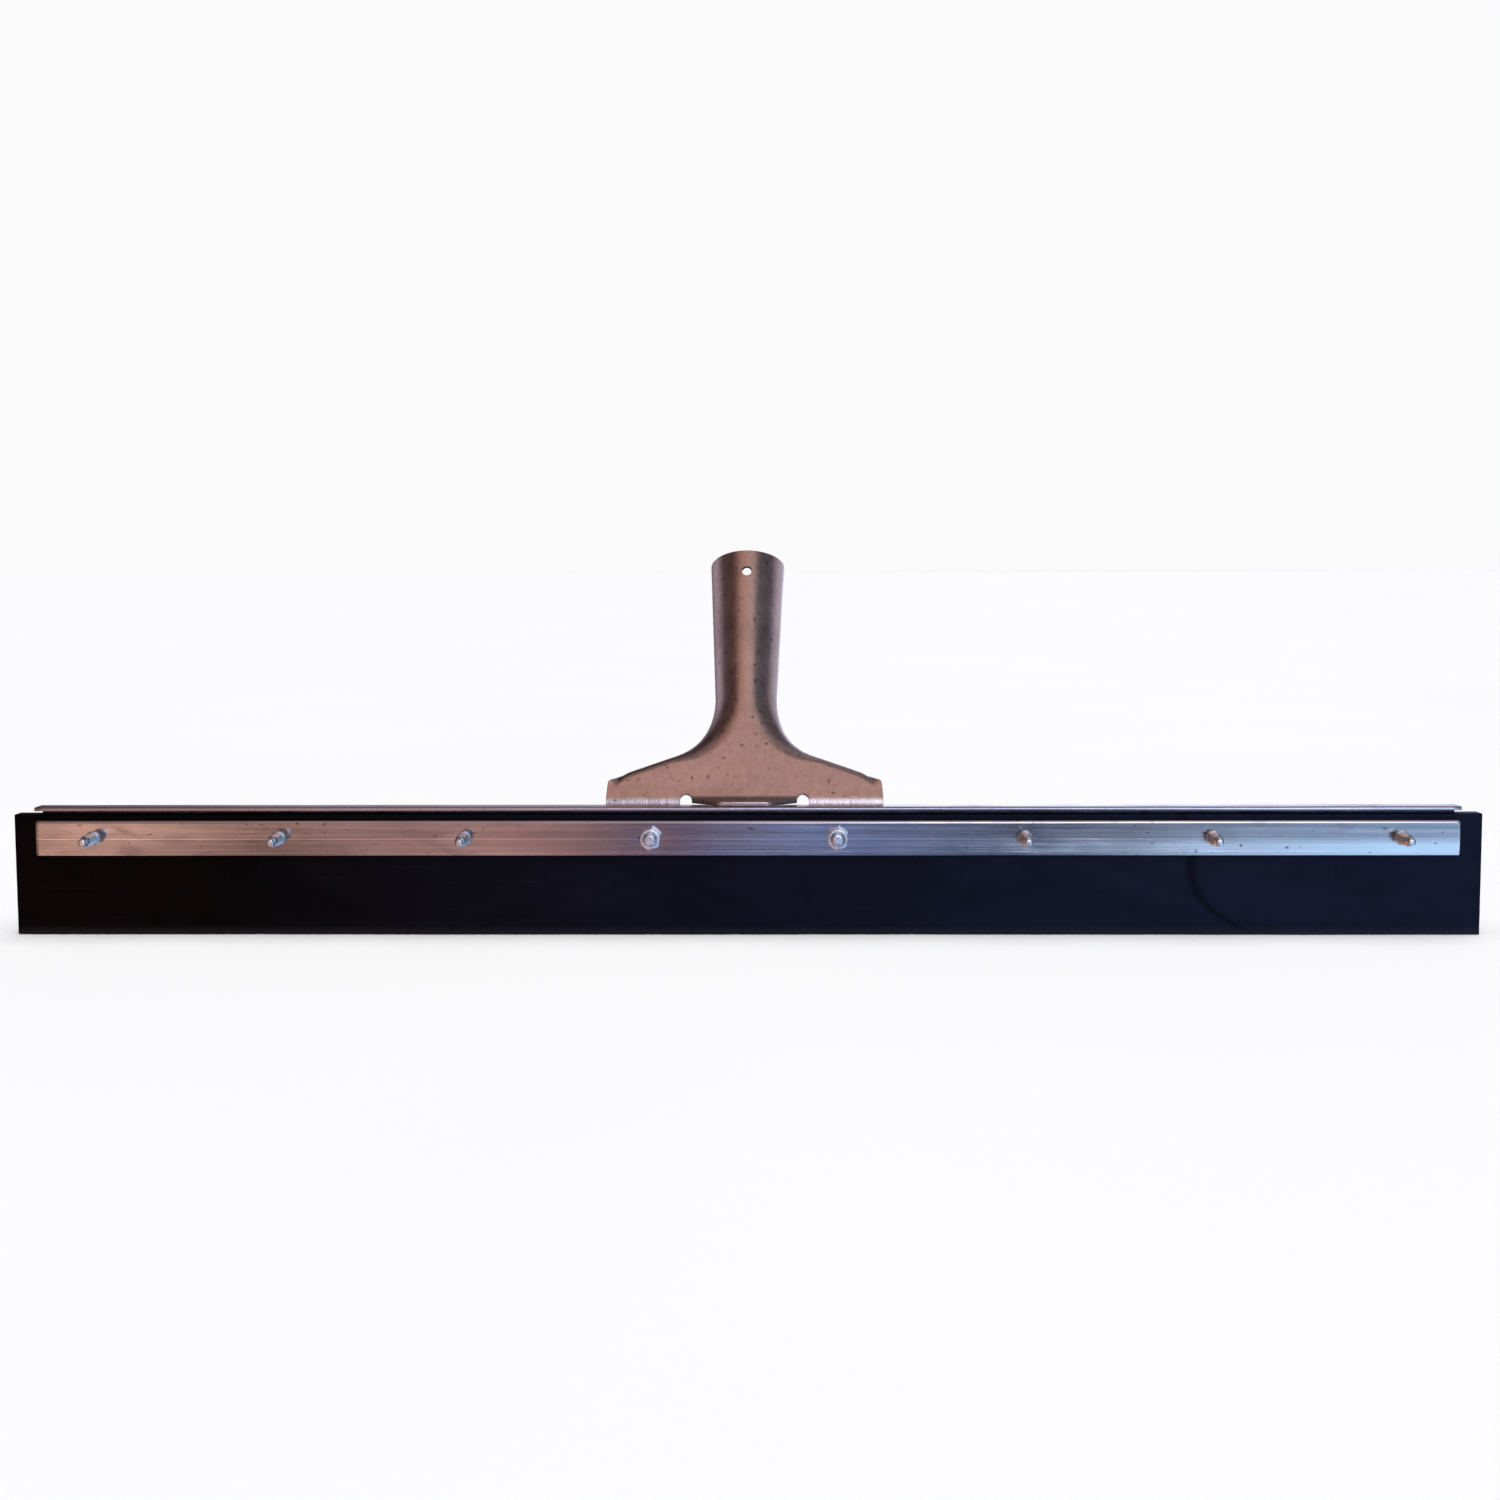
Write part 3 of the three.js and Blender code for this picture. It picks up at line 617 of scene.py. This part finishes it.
def slope_stations():
    """From the fan's corner up its sloping edge to the shoulder; the roll grows from nothing."""
    inward = (-math.sin(SLOPE), -math.cos(SLOPE))
    fade, steps = 16, 26
    stations = []
    for i in range(steps + 1):
        if i <= fade:
            t = ROLL_RUNOUT * i / fade
        else:
            t = mix(ROLL_RUNOUT, 1, (i - fade) / (steps - fade))
        rolled = smooth(t / ROLL_RUNOUT)
        x = mix(CORNER[0], SHOULDER[0], t)
        s = mix(SLOPE_S, SHOULDER[1], t) - CORNER_DROP * (1 - rolled)
        stations.append(Station(x, s, inward, ROLL_R, math.pi / 2 * rolled))
    return stations


def neck_stations():
    """From the shoulder round to the neck, where the roll closes into a tube."""
    pull = SHOULDER_PULL
    knots = (
        SHOULDER,
        (SHOULDER[0] - pull * math.cos(SLOPE), SHOULDER[1] + pull * math.sin(SLOPE)),
        (NECK_R, NECK_S - NECK_PULL),
        (NECK_R, NECK_S),
    )
    steps = 40
    stations = []
    for i in range(1, steps + 1):
        t = i / steps
        x, s = bezier(*knots, t)
        heading = mix(math.pi / 2 - SLOPE, 0, smooth(t))
        inward = (-math.cos(heading), -math.sin(heading))
        radius = NECK_R if i == steps else mix(ROLL_R, x, smooth(t))
        stations.append(Station(x, s, inward, radius, mix(math.pi / 2, SEAM, smooth(t))))
    return stations


def tube_stations():
    """From the neck up to the mouth; the rows around the screw hole are closer together."""
    hole = [HOLE_S + HOLE_WINDOW * k / 4 for k in range(-4, 5)]
    below = [mix(NECK_S, hole[0], k / 16) for k in range(1, 16)]
    above = [mix(hole[-1], MOUTH_S, k / 2) for k in range(1, 3)]
    return [
        Station(tube_radius(s), s, (-1.0, 0.0), tube_radius(s), SEAM)
        for s in below + hole + above
    ]


def roll_start(station):
    """Where the flat face ends and the roll begins."""
    x = station.x + station.inward[0] * station.radius
    return x, station.s + station.inward[1] * station.radius


def roll_section(station, side):
    """Sheet points across one rolled edge, evenly spaced, from the flat face to the free edge."""
    _, _, inward, radius, angle = station
    x0, s0 = roll_start(station)
    straight = radius * math.cos(angle) / (1 + math.sin(angle)) if angle < math.pi / 2 else 0.0
    curved = radius * angle
    row = []
    for i in range(ROLL_STEPS + 1):
        share = i / ROLL_STEPS
        if angle == 0:
            share = 1.0 if i == ROLL_STEPS else 0.0
        along = (curved + straight) * share
        a = min(angle, along / radius)
        beyond = max(0.0, along - curved)
        out = radius * math.sin(a) + beyond * math.cos(a)
        depth = radius * (1 - math.cos(a)) + beyond * math.sin(a)
        back = (side * inward[0] * math.sin(a), inward[1] * math.sin(a), math.cos(a))
        row.append(leaning(side * (x0 - inward[0] * out), s0 - inward[1] * out, depth, back))
    return row


def notch_half(z):
    """Half the width of a bend notch at height z."""
    above = max(0.0, z - (NOTCH_TOP - NOTCH_R))
    return math.sqrt(max(0.0, NOTCH_R ** 2 - above ** 2))


def tab_start():
    """How far up the leaning face the tab's bend starts."""
    return (TAB_Z - BEND_Z) / UP[1] + TAB_BEND * math.tan((math.pi / 2 - LEAN) / 2)


def fan_outline(stations):
    """The flat face, from the foot bend round the rolled edges and back along the notches."""
    bend = FOOT_BEND * math.tan(LEAN / 2)
    middle = NOTCH_TOP - NOTCH_R
    foot_side = math.asin((BEND_Z + bend * UP[1] - middle) / NOTCH_R)
    tab_side = math.pi - math.asin((BEND_Z + tab_start() * UP[1] - middle) / NOTCH_R)
    notch = []
    for k in range(17):
        a = mix(tab_side, foot_side, k / 16)
        z = middle + NOTCH_R * math.sin(a)
        notch.append((NOTCH_X + NOTCH_R * math.cos(a), (z - BEND_Z) / UP[1]))
    right = [
        (FOOT_OUTER, bend),
        (FOOT_OUTER - 0.35, CORNER[1] - 2.0),
        (FOOT_OUTER - 0.55, CORNER[1] - 0.7),
        CORNER,
    ]
    right += [roll_start(station) for station in stations if station.s <= NECK_S + NEAR]
    left = [(-x, s) for x, s in reversed(right[:-1])]
    return right + left + [(-x, s) for x, s in reversed(notch)] + notch


def tab_rows():
    """The bend from the leaning face forward to the tab."""
    (_, y, z), _ = leaning(0, tab_start(), 0)
    cy, cz = y - TAB_BEND * BACK[0], z - TAB_BEND * BACK[1]
    rows = []
    for i in range(13):
        a = mix(LEAN, math.pi / 2, i / 12)
        n = (0.0, math.cos(a), -math.sin(a))
        y, z = cy + TAB_BEND * n[1], cz + TAB_BEND * n[2]
        half = NOTCH_X - notch_half(z)
        rows.append([((-half, y, z), n), ((half, y, z), n)])
    return rows


def tab_plate():
    """The tab on the flange, with curved front corners."""
    left, right = tab_rows()[-1]
    n = (0.0, 0.0, -1.0)
    z = left[0][2]
    corner = TAB_FRONT + TAB_CORNER_RUN
    outer, inner = TAB_CORNER_X + TAB_FLARE, TAB_CORNER_X - TAB_FLARE
    side = []
    for k in range(9):
        t = k / 8
        u = 1 - t
        x = u * u * outer + 2 * u * t * inner + t * t * TAB_FRONT_X
        y = u * u * (corner + 1.0) + 2 * u * t * TAB_FRONT + t * t * TAB_FRONT
        side.append((x, y))
    left_side = [((-x, y, z), n) for x, y in side]
    right_side = [((x, y, z), n) for x, y in reversed(side)]
    return [left] + left_side + right_side + [right]


def foot_rows(side):
    """The bend from a foot to the leaning face."""
    cy = LEG_BACK + FOOT_BEND
    cz = BEND_Z - FOOT_BEND * math.tan(LEAN / 2)
    rows = []
    for i in range(10, -1, -1):
        a = LEAN * i / 10
        n = (0.0, math.cos(a), -math.sin(a))
        y, z = cy - FOOT_BEND * n[1], cz - FOOT_BEND * n[2]
        inner = side * (NOTCH_X + notch_half(z))
        rows.append([((inner, y, z), n), ((side * FOOT_OUTER, y, z), n)])
    return rows


def foot_plate(side):
    """A foot flat against the back of the leg."""
    top = BEND_Z - FOOT_BEND * math.tan(LEAN / 2)
    inner = NOTCH_X + NOTCH_R
    c = FOOT_CORNER
    outline = [(inner, top)]
    outline += arc(inner + c, FOOT_BOTTOM + c, c, c, 180, 270, 10)
    outline += arc(FOOT_OUTER - c, FOOT_BOTTOM + c, c, c, 270, 360, 10)
    outline += [(FOOT_OUTER, top)]
    return [((side * x, LEG_BACK, z), (0.0, 1.0, 0.0)) for x, z in outline]


RIM_PROFILE = ((0.06, 0.55), (0.2, 0.9), (0.5, 1.0), (0.8, 0.9), (0.94, 0.55))


class Sheet:
    """Patches of sheet metal, each point with its direction to the back face, closed into a solid."""

    def __init__(self):
        self.ids = {}
        self.front = []
        self.back = []
        self.faces = []

    def id(self, point):
        p, n = point
        key = tuple(round(v * 1e4) for v in p)
        if key not in self.ids:
            self.ids[key] = len(self.front)
            self.front.append(Vector(p))
            self.back.append(Vector(n))
        return self.ids[key]

    def face(self, *points):
        """One face of the front, turned away from the back face."""
        ring = []
        for i in (self.id(p) for p in points):
            if i not in ring:
                ring.append(i)
        if len(ring) < 3:
            return
        corners = [self.front[i] for i in ring]
        start = corners[0]
        turns = ((b - start).cross(c - start) for b, c in zip(corners[1:], corners[2:]))
        facing = sum(turns, Vector())
        away = sum((self.back[i] for i in ring), Vector())
        self.faces.append(ring[::-1] if facing.dot(away) > 0 else ring)

    def rows(self, rows, skip=None):
        for i in range(len(rows) - 1):
            for j in range(len(rows[i]) - 1):
                if not (skip and skip(i, j)):
                    self.face(rows[i][j], rows[i][j + 1], rows[i + 1][j + 1], rows[i + 1][j])

    def rim(self):
        """The edges that only one face has, in that face's direction."""
        edges = {(f[k], f[(k + 1) % len(f)]) for f in self.faces for k in range(len(f))}
        return [(u, v) for u, v in edges if (v, u) not in edges]

    def solid(self, thickness, lip):
        """Vertices and faces; free edges are rounded outwards by lip."""
        count = len(self.front)
        verts = [tuple(p) for p in self.front]
        verts += [tuple(p + n * thickness) for p, n in zip(self.front, self.back)]
        faces = [tuple(f) for f in self.faces]
        faces += [tuple(i + count for i in reversed(f)) for f in self.faces]
        rim = self.rim()
        outward = {}
        for u, v in rim:
            direction = (self.front[v] - self.front[u]).normalized()
            for i in (u, v):
                outward[i] = outward.get(i, Vector()) + direction.cross(-self.back[i])
        loops = {}
        for i, direction in outward.items():
            direction = direction.normalized() if direction.length > 1e-9 else Vector()
            chain = [i]
            for through, out in RIM_PROFILE:
                chain.append(len(verts))
                across = self.front[i] + self.back[i] * thickness * through
                verts.append(tuple(across + direction * lip * out))
            loops[i] = chain + [i + count]
        for u, v in rim:
            a, b = loops[u], loops[v]
            for k in range(len(a) - 1):
                faces.append((b[k], a[k], a[k + 1], b[k + 1]))
        return verts, faces


def tube_point(u, s):
    """u is the distance round the tube from its front line, measured at the hole's height."""
    radius = tube_radius(s)
    a = u / HOLE_TUBE_R
    back = (-math.sin(a), 0.0, math.cos(a))
    return leaning(radius * math.sin(a), s, radius * (1 - math.cos(a)), back)


def hole_patch(sheet, window):
    """Fills between the window left in the tube and the round screw hole."""
    count = len(window)
    rings = [window]
    for t in (0.35, 0.65, 0.85, 1.0):
        ring = []
        for u, s in window:
            a = math.atan2(s - HOLE_S, u)
            round_u, round_s = HOLE_R * math.cos(a), HOLE_S + HOLE_R * math.sin(a)
            ring.append((mix(u, round_u, t), mix(s, round_s, t)))
        rings.append(ring)
    points = [[tube_point(u, s) for u, s in ring] for ring in rings]
    for i in range(len(points) - 1):
        for j in range(count):
            k = (j + 1) % count
            sheet.face(points[i][j], points[i][k], points[i + 1][k], points[i + 1][j])


def hole_window(heights):
    """The edge of the patch left out round the screw hole, as (u, s) points."""
    step = SEAM / ROLL_STEPS * HOLE_TUBE_R
    columns = [step * k for k in range(-HOLE_COLUMNS, HOLE_COLUMNS + 1)]
    window = [(u, heights[0]) for u in columns]
    window += [(columns[-1], s) for s in heights[1:]]
    window += [(u, heights[-1]) for u in reversed(columns[:-1])]
    window += [(columns[0], s) for s in reversed(heights[1:-1])]
    return window


def handle_socket():
    stations = slope_stations() + neck_stations() + tube_stations()
    reach = HOLE_WINDOW + NEAR
    at_hole = [i for i, station in enumerate(stations) if abs(station.s - HOLE_S) < reach]
    low, high = at_hole[0], at_hole[-1]

    def in_window(i, j):
        return low <= i < high and j < HOLE_COLUMNS

    sheet = Sheet()
    sheet.face(*(leaning(x, s, 0) for x, s in fan_outline(stations)))
    for side in (-1, 1):
        sheet.rows([roll_section(station, side) for station in stations], in_window)
        sheet.rows(foot_rows(side))
        sheet.face(*foot_plate(side))
    hole_patch(sheet, hole_window([stations[i].s for i in range(low, high + 1)]))
    sheet.rows(tab_rows())
    sheet.face(*tab_plate())
    verts, faces = sheet.solid(SHEET, RIM_LIP)
    return piece("handle_tube", verts, faces, SOCKET_STEEL, ["handle_socket"], 32)


# ------------------------------------------------------------------ fasteners


def ring_at(x, y, radius, count):
    """A ring about a fastener's axis; radius is a number or a function of the angle."""
    points = []
    for k in range(count):
        a = 2 * math.pi * k / count
        r = radius(a) if callable(radius) else radius
        points.append((x + r * math.cos(a), y, SCREW_Z + r * math.sin(a)))
    return points


def thread_rings(x, start, end, major, minor, pitch, count):
    """Rings from start to end with a right-hand thread cut between minor and major radius."""
    rows = 9
    total = max(2, round(abs(end - start) / pitch * rows))
    rings = []
    for i in range(total + 1):
        y = mix(start, end, i / total)
        ends = min(1.0, (total - i) / rows, i / rows + 0.25)
        ring = []
        for k in range(count):
            a = 2 * math.pi * k / count
            phase = ((y + pitch * a / (2 * math.pi)) / pitch) % 1.0
            crest = max(0.0, 1.0 - abs(2 * phase - 1) * 1.5)
            r = minor + (major - minor) * min(1.0, crest * 1.25) * ends
            ring.append((x + r * math.cos(a), y, SCREW_Z + r * math.sin(a)))
        rings.append(ring)
    return rings


def hexagon(flats, corner, turn=0.0):
    """Radius of a hexagon with a corner straight up before its turn, its corners slightly broken."""

    def radius(angle):
        off = (angle - turn - math.pi / 2 + math.pi / 6) % (math.pi / 3) - math.pi / 6
        side = flats / 2 / math.cos(math.pi / 6 - abs(off))
        return min(side, flats / math.sqrt(3) - corner)

    return radius


# Distance from the tip and radius, along a tapping screw's blunt point.
POINT = ((0.02, 0.35), (0.0, 0.9), (0.10, 1.25), (0.45, 1.60), (0.8, 1.68), (2.9, 1.72), (3.3, 1.80))


def tapping_screw(name, node):
    tip, top = (corner[1] for corner in box_mm(node))
    x, _ = axis_of(node)
    front, count = STRIP_LOW[1], 32
    rings = [ring_at(x, tip + y, r, count) for y, r in POINT]
    rings += thread_rings(x, tip + 3.4, front + 0.8, 2.4, 1.86, 1.27, count)
    rings += [ring_at(x, front + 1.0, 2.2, count), ring_at(x, LEG_BACK, 2.2, count)]
    verts, faces = skin(rings)
    for more_verts, more_faces in (hex_washer_head(x, LEG_BACK, top), burr(x)):
        faces += [tuple(i + len(verts) for i in face) for face in more_faces]
        verts = verts + more_verts
    return piece(name, verts, faces, ZINC, [node], 30)


BURR_R, BURR_WIDTH, BURR_RISE = 2.6, 0.48, 0.75
BURR_SUNK = 0.1


def burr(x):
    """The ring of strip metal pushed up round a screw that comes through."""
    front = STRIP_LOW[1] + BURR_SUNK
    rings = [
        ring_at(x, front - rise, lambda a, r=radius: r + 0.05 * math.sin(3 * a + x), 48)
        for radius, rise in arc(BURR_R, 0.0, BURR_WIDTH, BURR_RISE, 0, 180, 12)
    ]
    return skin(rings, looped=True)


def hex_washer_head(x, seat, top):
    """A hexagon head with a washer under it and a hollow in its top."""
    washer, flats, count = 5.2, 7.9, 72
    inner = flats / 2 - 0.35
    hexed = hexagon(flats, 0.12)
    slope = math.tan(math.radians(28))
    profile = (
        (seat, 2.0),
        (seat, washer - 0.15),
        (seat + 0.15, washer),
        (seat + 0.55, washer),
        (seat + 0.85, washer - 0.35),
        (seat + 1.05, 4.62),
        (seat + 1.05, lambda a: hexed(a) + 0.02),
        (seat + 1.2, hexed),
    )
    rings = [ring_at(x, y, radius, count) for y, radius in profile]
    rings.append([
        (px, top - (math.hypot(px - x, pz - SCREW_Z) - inner) * slope, pz)
        for px, _, pz in ring_at(x, 0, hexed, count)
    ])
    crown = ((top, inner), (top - 0.02, inner - 0.35), (top - 0.45, inner - 0.9), (top - 0.5, 0.6))
    rings += [ring_at(x, y, radius, count) for y, radius in crown]
    return skin(rings)


# Distance from the tip and radius, at a machine screw's flat end.
FLAT_END = ((0.03, 0.4), (0.0, 1.2), (0.0, 1.75), (0.06, 1.95), (0.28, 2.2))
PAN_SHARP = 34


def machine_screw(name, node):
    low, high = box_mm(node)
    tip, top = low[1], high[1]
    x, _ = axis_of(node)
    seat = LEG_BACK + SHEET
    head = (high[0] - low[0]) / 2
    side, count = 1.1, 40
    rings = [ring_at(x, tip + y, r, count) for y, r in FLAT_END]
    rings += thread_rings(x, tip + 0.34, tip + 3.4, 2.49, 2.12, 0.8, count)
    shank = ((tip + 3.6, 2.45), (seat, 2.45), (seat, head - 0.12), (seat + 0.12, head))
    rings += [ring_at(x, y, r, count) for y, r in shank]
    for k in range(9):
        a = math.pi / 2 * k / 8
        y = seat + side + (top - seat - side) * math.sin(a) ** 0.9
        rings.append(ring_at(x, y, max(0.5, head * math.cos(a) ** 0.72), count))
    verts, faces = skin(rings)
    screw = piece(name, verts, faces, ZINC, [node], PAN_SHARP)
    cut_slot(screw, x, top)
    return screw


def cut_slot(screw, x, top):
    """A driving slot across the head."""
    half_length, half_width, deep = 7.0, 0.65, 1.6
    corners = ((-1, -1), (1, -1), (1, 1), (-1, 1))
    rings = [
        [(x + sx * half_length, y, SCREW_Z + sz * half_width) for sx, sz in corners]
        for y in (top - deep, top + 2)
    ]
    cutter = add_object("slot", closed_mesh("slot", *skin(rings)))
    modifier = screw.modifiers.new("slot", "BOOLEAN")
    modifier.operation = "DIFFERENCE"
    modifier.solver = "EXACT"
    modifier.object = cutter
    graph = bpy.context.evaluated_depsgraph_get()
    screw_mesh = bpy.data.meshes.new_from_object(screw.evaluated_get(graph), depsgraph=graph)
    screw.modifiers.clear()
    screw.data = screw_mesh
    bpy.data.objects.remove(cutter)
    shade(screw_mesh, PAN_SHARP)


def hex_nut(name, node):
    """A nut chamfered on both faces, turned 10 degrees, its bore flared at the front."""
    front, back = (corner[1] for corner in box_mm(node))
    x, _ = axis_of(node)
    flats, bore, count = 8.0, 2.52, 96
    inner = flats / 2 - 0.12
    slope = math.tan(math.radians(30))
    outline = ring_at(x, 0, hexagon(flats, 0.10, math.radians(-10)), count)
    crown = [
        (px, (math.hypot(px - x, pz - SCREW_Z) - inner) * slope, pz)
        for px, _, pz in outline
    ]
    front_profile = (
        (front + 1.0, bore),
        (front + 0.80, bore),
        (front + 0.04, bore + 0.66),
        (front, bore + 0.72),
        (front, inner - 0.12),
        (front + 0.02, inner),
    )
    back_profile = ((back - 0.02, inner), (back, bore), (back - 0.5, bore))
    rings = [ring_at(x, y, r, count) for y, r in front_profile]
    rings.append([(px, front + 0.02 + drop, pz) for px, drop, pz in crown])
    rings.append([(px, back - 0.02 - drop, pz) for px, drop, pz in crown])
    rings += [ring_at(x, y, r, count) for y, r in back_profile]
    verts, faces = skin(rings, looped=True)
    return piece(name, verts, faces, ZINC, [node], 24)


# ---------------------------------------------------------------------- build

rubber_blade()
frame_angle()
clamp_strip()
handle_socket()
for number, node in enumerate(TAPPING, 1):
    tapping_screw(f"pointed_screw_{number}", node)
for number, node in enumerate(MACHINE, 1):
    machine_screw(f"bolt_{number}", node)
for number, node in enumerate(NUTS, 1):
    hex_nut(f"nut_{number}", node)


# ---------------------------------------------------------------------- stage

FLOOR_REACH = 14.0
BACKDROP = (0.96, 0.96, 0.96)
ZENITH = (0.20, 0.16, 0.17)

# Colours of the surroundings in front, from left to right: below the horizon, above it and high up.
# The narrow light and dark bands show as cross bands along the clamp strip, which mirrors them.
FRONT_LOW = [
    (0.00, (0.10, 0.07, 0.06)),
    (0.26, (0.40, 0.22, 0.16)),
    (0.300, (0.62, 0.36, 0.27)),
    (0.330, (1.85, 1.12, 0.88)),
    (0.345, (0.10, 0.05, 0.04)),
    (0.366, (0.08, 0.05, 0.04)),
    (0.381, (0.90, 0.54, 0.48)),
    (0.406, (0.30, 0.17, 0.15)),
    (0.424, (1.55, 0.86, 0.72)),
    (0.441, (0.22, 0.12, 0.13)),
    (0.472, (0.12, 0.06, 0.09)),
    (0.490, (0.28, 0.40, 0.82)),
    (0.528, (0.22, 0.33, 0.64)),
    (0.545, (0.04, 0.05, 0.09)),
    (0.575, (0.06, 0.08, 0.14)),
    (0.600, (0.36, 0.46, 0.66)),
    (0.632, (0.42, 0.60, 0.90)),
    (0.66, (0.46, 0.74, 1.12)),
    (0.74, (0.60, 0.80, 1.15)),
    (0.84, (0.24, 0.30, 0.42)),
    (1.00, (0.10, 0.12, 0.16)),
]
FRONT_MIDDLE = [
    (0.00, (0.08, 0.06, 0.06)),
    (0.20, (0.20, 0.15, 0.15)),
    (0.36, (0.42, 0.34, 0.38)),
    (0.45, (0.48, 0.46, 0.68)),
    (0.495, (1.05, 1.15, 1.55)),
    (0.525, (2.90, 3.40, 4.50)),
    (0.64, (2.40, 2.80, 3.60)),
    (0.74, (0.50, 0.52, 0.62)),
    (0.90, (0.12, 0.12, 0.15)),
    (1.00, (0.10, 0.10, 0.13)),
]
FRONT_UPPER = [
    (0.00, (0.08, 0.06, 0.06)),
    (0.23, (0.09, 0.05, 0.05)),
    (0.34, (0.54, 0.32, 0.27)),
    (0.50, (0.68, 0.44, 0.40)),
    (0.65, (0.60, 0.47, 0.47)),
    (0.76, (0.10, 0.10, 0.12)),
    (1.00, (0.10, 0.10, 0.12)),
]
# Colours behind, which are multiplied: from straight down to straight up, and from left to right.
REAR_HEIGHTS = [
    (0.00, (0.30, 0.28, 0.28)),
    (0.40, (0.60, 0.57, 0.60)),
    (0.50, (1.00, 0.96, 1.02)),
    (0.60, (0.95, 0.90, 0.98)),
    (0.68, (0.66, 0.60, 0.66)),
    (0.75, (0.20, 0.16, 0.17)),
    (0.88, (0.18, 0.14, 0.15)),
    (1.00, (0.20, 0.16, 0.17)),
]
REAR_SIDES = [
    (0.02, (0.40, 0.36, 0.40)),
    (0.10, (0.54, 0.48, 0.55)),
    (0.30, (0.20, 0.18, 0.20)),
    (0.41, (0.46, 0.43, 0.49)),
    (0.49, (0.70, 0.68, 0.76)),
    (0.55, (1.95, 2.15, 2.50)),
    (0.64, (1.15, 1.28, 1.52)),
    (0.76, (0.58, 0.60, 0.72)),
    (0.90, (0.60, 0.59, 0.69)),
    (0.98, (0.42, 0.42, 0.49)),
]


def pale_floor():
    corners = [(sx * FLOOR_REACH, sy * FLOOR_REACH, 0) for sx, sy in ((-1, -1), (1, -1), (1, 1), (-1, 1))]
    mesh = bpy.data.meshes.new("floor")
    mesh.from_pydata(corners, [], [(0, 1, 2, 3)])
    n = Material("pale_floor", Metallic=0.0, Specular_IOR_Level=0.1)
    soft = n.noise((3, 3, 3), 2.0, 0.5)
    colour = n.ramp(soft, [(0.3, 0.92), (0.7, 0.93)])
    roughness = n.ramp(soft, [(0.3, 0.8), (0.7, 0.9)])
    mesh.materials.append(n.finish(colour, roughness, n.bump(soft, 0.0001, 0.1)))
    floor = add_object("floor", mesh)
    floor.visible_glossy = False


def studio_world():
    """Coloured bands all round for the steel to mirror, warm at the left and cool at the right.

    The camera itself sees only the pale backdrop.
    """
    world = bpy.data.worlds.new("studio")
    bpy.context.scene.world = world
    world.use_nodes = True
    n = Tree(world.node_tree)
    split = n.new("ShaderNodeSeparateXYZ")
    n.link(n.new("ShaderNodeTexCoord").outputs["Generated"], split.inputs[0])
    x, y, z = (split.outputs[name] for name in "XYZ")
    across = n.remap(x, -1.0, 1.0)
    height = n.remap(z, -1.0, 1.0)
    low, middle, upper, sides = (
        n.ramp(across, stops, "EASE")
        for stops in (FRONT_LOW, FRONT_MIDDLE, FRONT_UPPER, REAR_SIDES)
    )
    front = n.mix(n.remap(z, -0.06, 0.12), low, middle)
    front = n.mix(n.remap(z, 0.34, 0.60), front, upper)
    front = n.mix(n.remap(z, 0.88, 0.96), front, ZENITH)
    rear = n.mix(1.0, n.ramp(height, REAR_HEIGHTS, "EASE"), sides, "MULTIPLY")
    surround = n.new("ShaderNodeBackground")
    n.link(n.mix(n.remap(y, 0.10, 0.34), front, rear), surround.inputs[0])
    backdrop = n.new("ShaderNodeBackground")
    n.feed(backdrop.inputs[0], BACKDROP)
    choose = n.new("ShaderNodeMixShader")
    n.link(n.new("ShaderNodeLightPath").outputs["Is Camera Ray"], choose.inputs[0])
    n.link(surround.outputs[0], choose.inputs[1])
    n.link(backdrop.outputs[0], choose.inputs[2])
    n.link(choose.outputs[0], n.new("ShaderNodeOutputWorld").inputs[0])


def overhead_light():
    """Even light from above; metal doesn't mirror it."""
    light = bpy.data.lights.new("overhead", "SUN")
    light.energy = 2.69
    light.angle = math.radians(70)
    light.color = (0.95, 1.0, 0.985)
    obj = add_object("overhead", light)
    obj.rotation_euler = (math.radians(12), math.radians(6), 0)
    obj.visible_camera = False
    obj.visible_glossy = False


CAMERA_PLACE = (0.01995, -0.7439, 0.1583)
CAMERA_YAW, CAMERA_PITCH, CAMERA_ROLL = (math.radians(a) for a in (0.856, 4.19, -0.165))


def camera():
    """In front and a little above, looking slightly down."""
    data = bpy.data.cameras.new("camera")
    data.sensor_width = 36
    data.lens = 43.2
    data.clip_start, data.clip_end = 0.01, 100
    data.shift_x, data.shift_y = -0.01, -0.0427
    turn = Matrix.Rotation(CAMERA_YAW, 4, "Z")
    turn = turn @ Matrix.Rotation(math.pi / 2 - CAMERA_PITCH, 4, "X")
    turn = turn @ Matrix.Rotation(CAMERA_ROLL, 4, "Z")
    obj = add_object("camera", data)
    obj.matrix_world = Matrix.Translation(CAMERA_PLACE) @ turn
    bpy.context.scene.camera = obj


pale_floor()
studio_world()
overhead_light()
camera()
bpy.context.scene.view_settings.view_transform = "Standard"
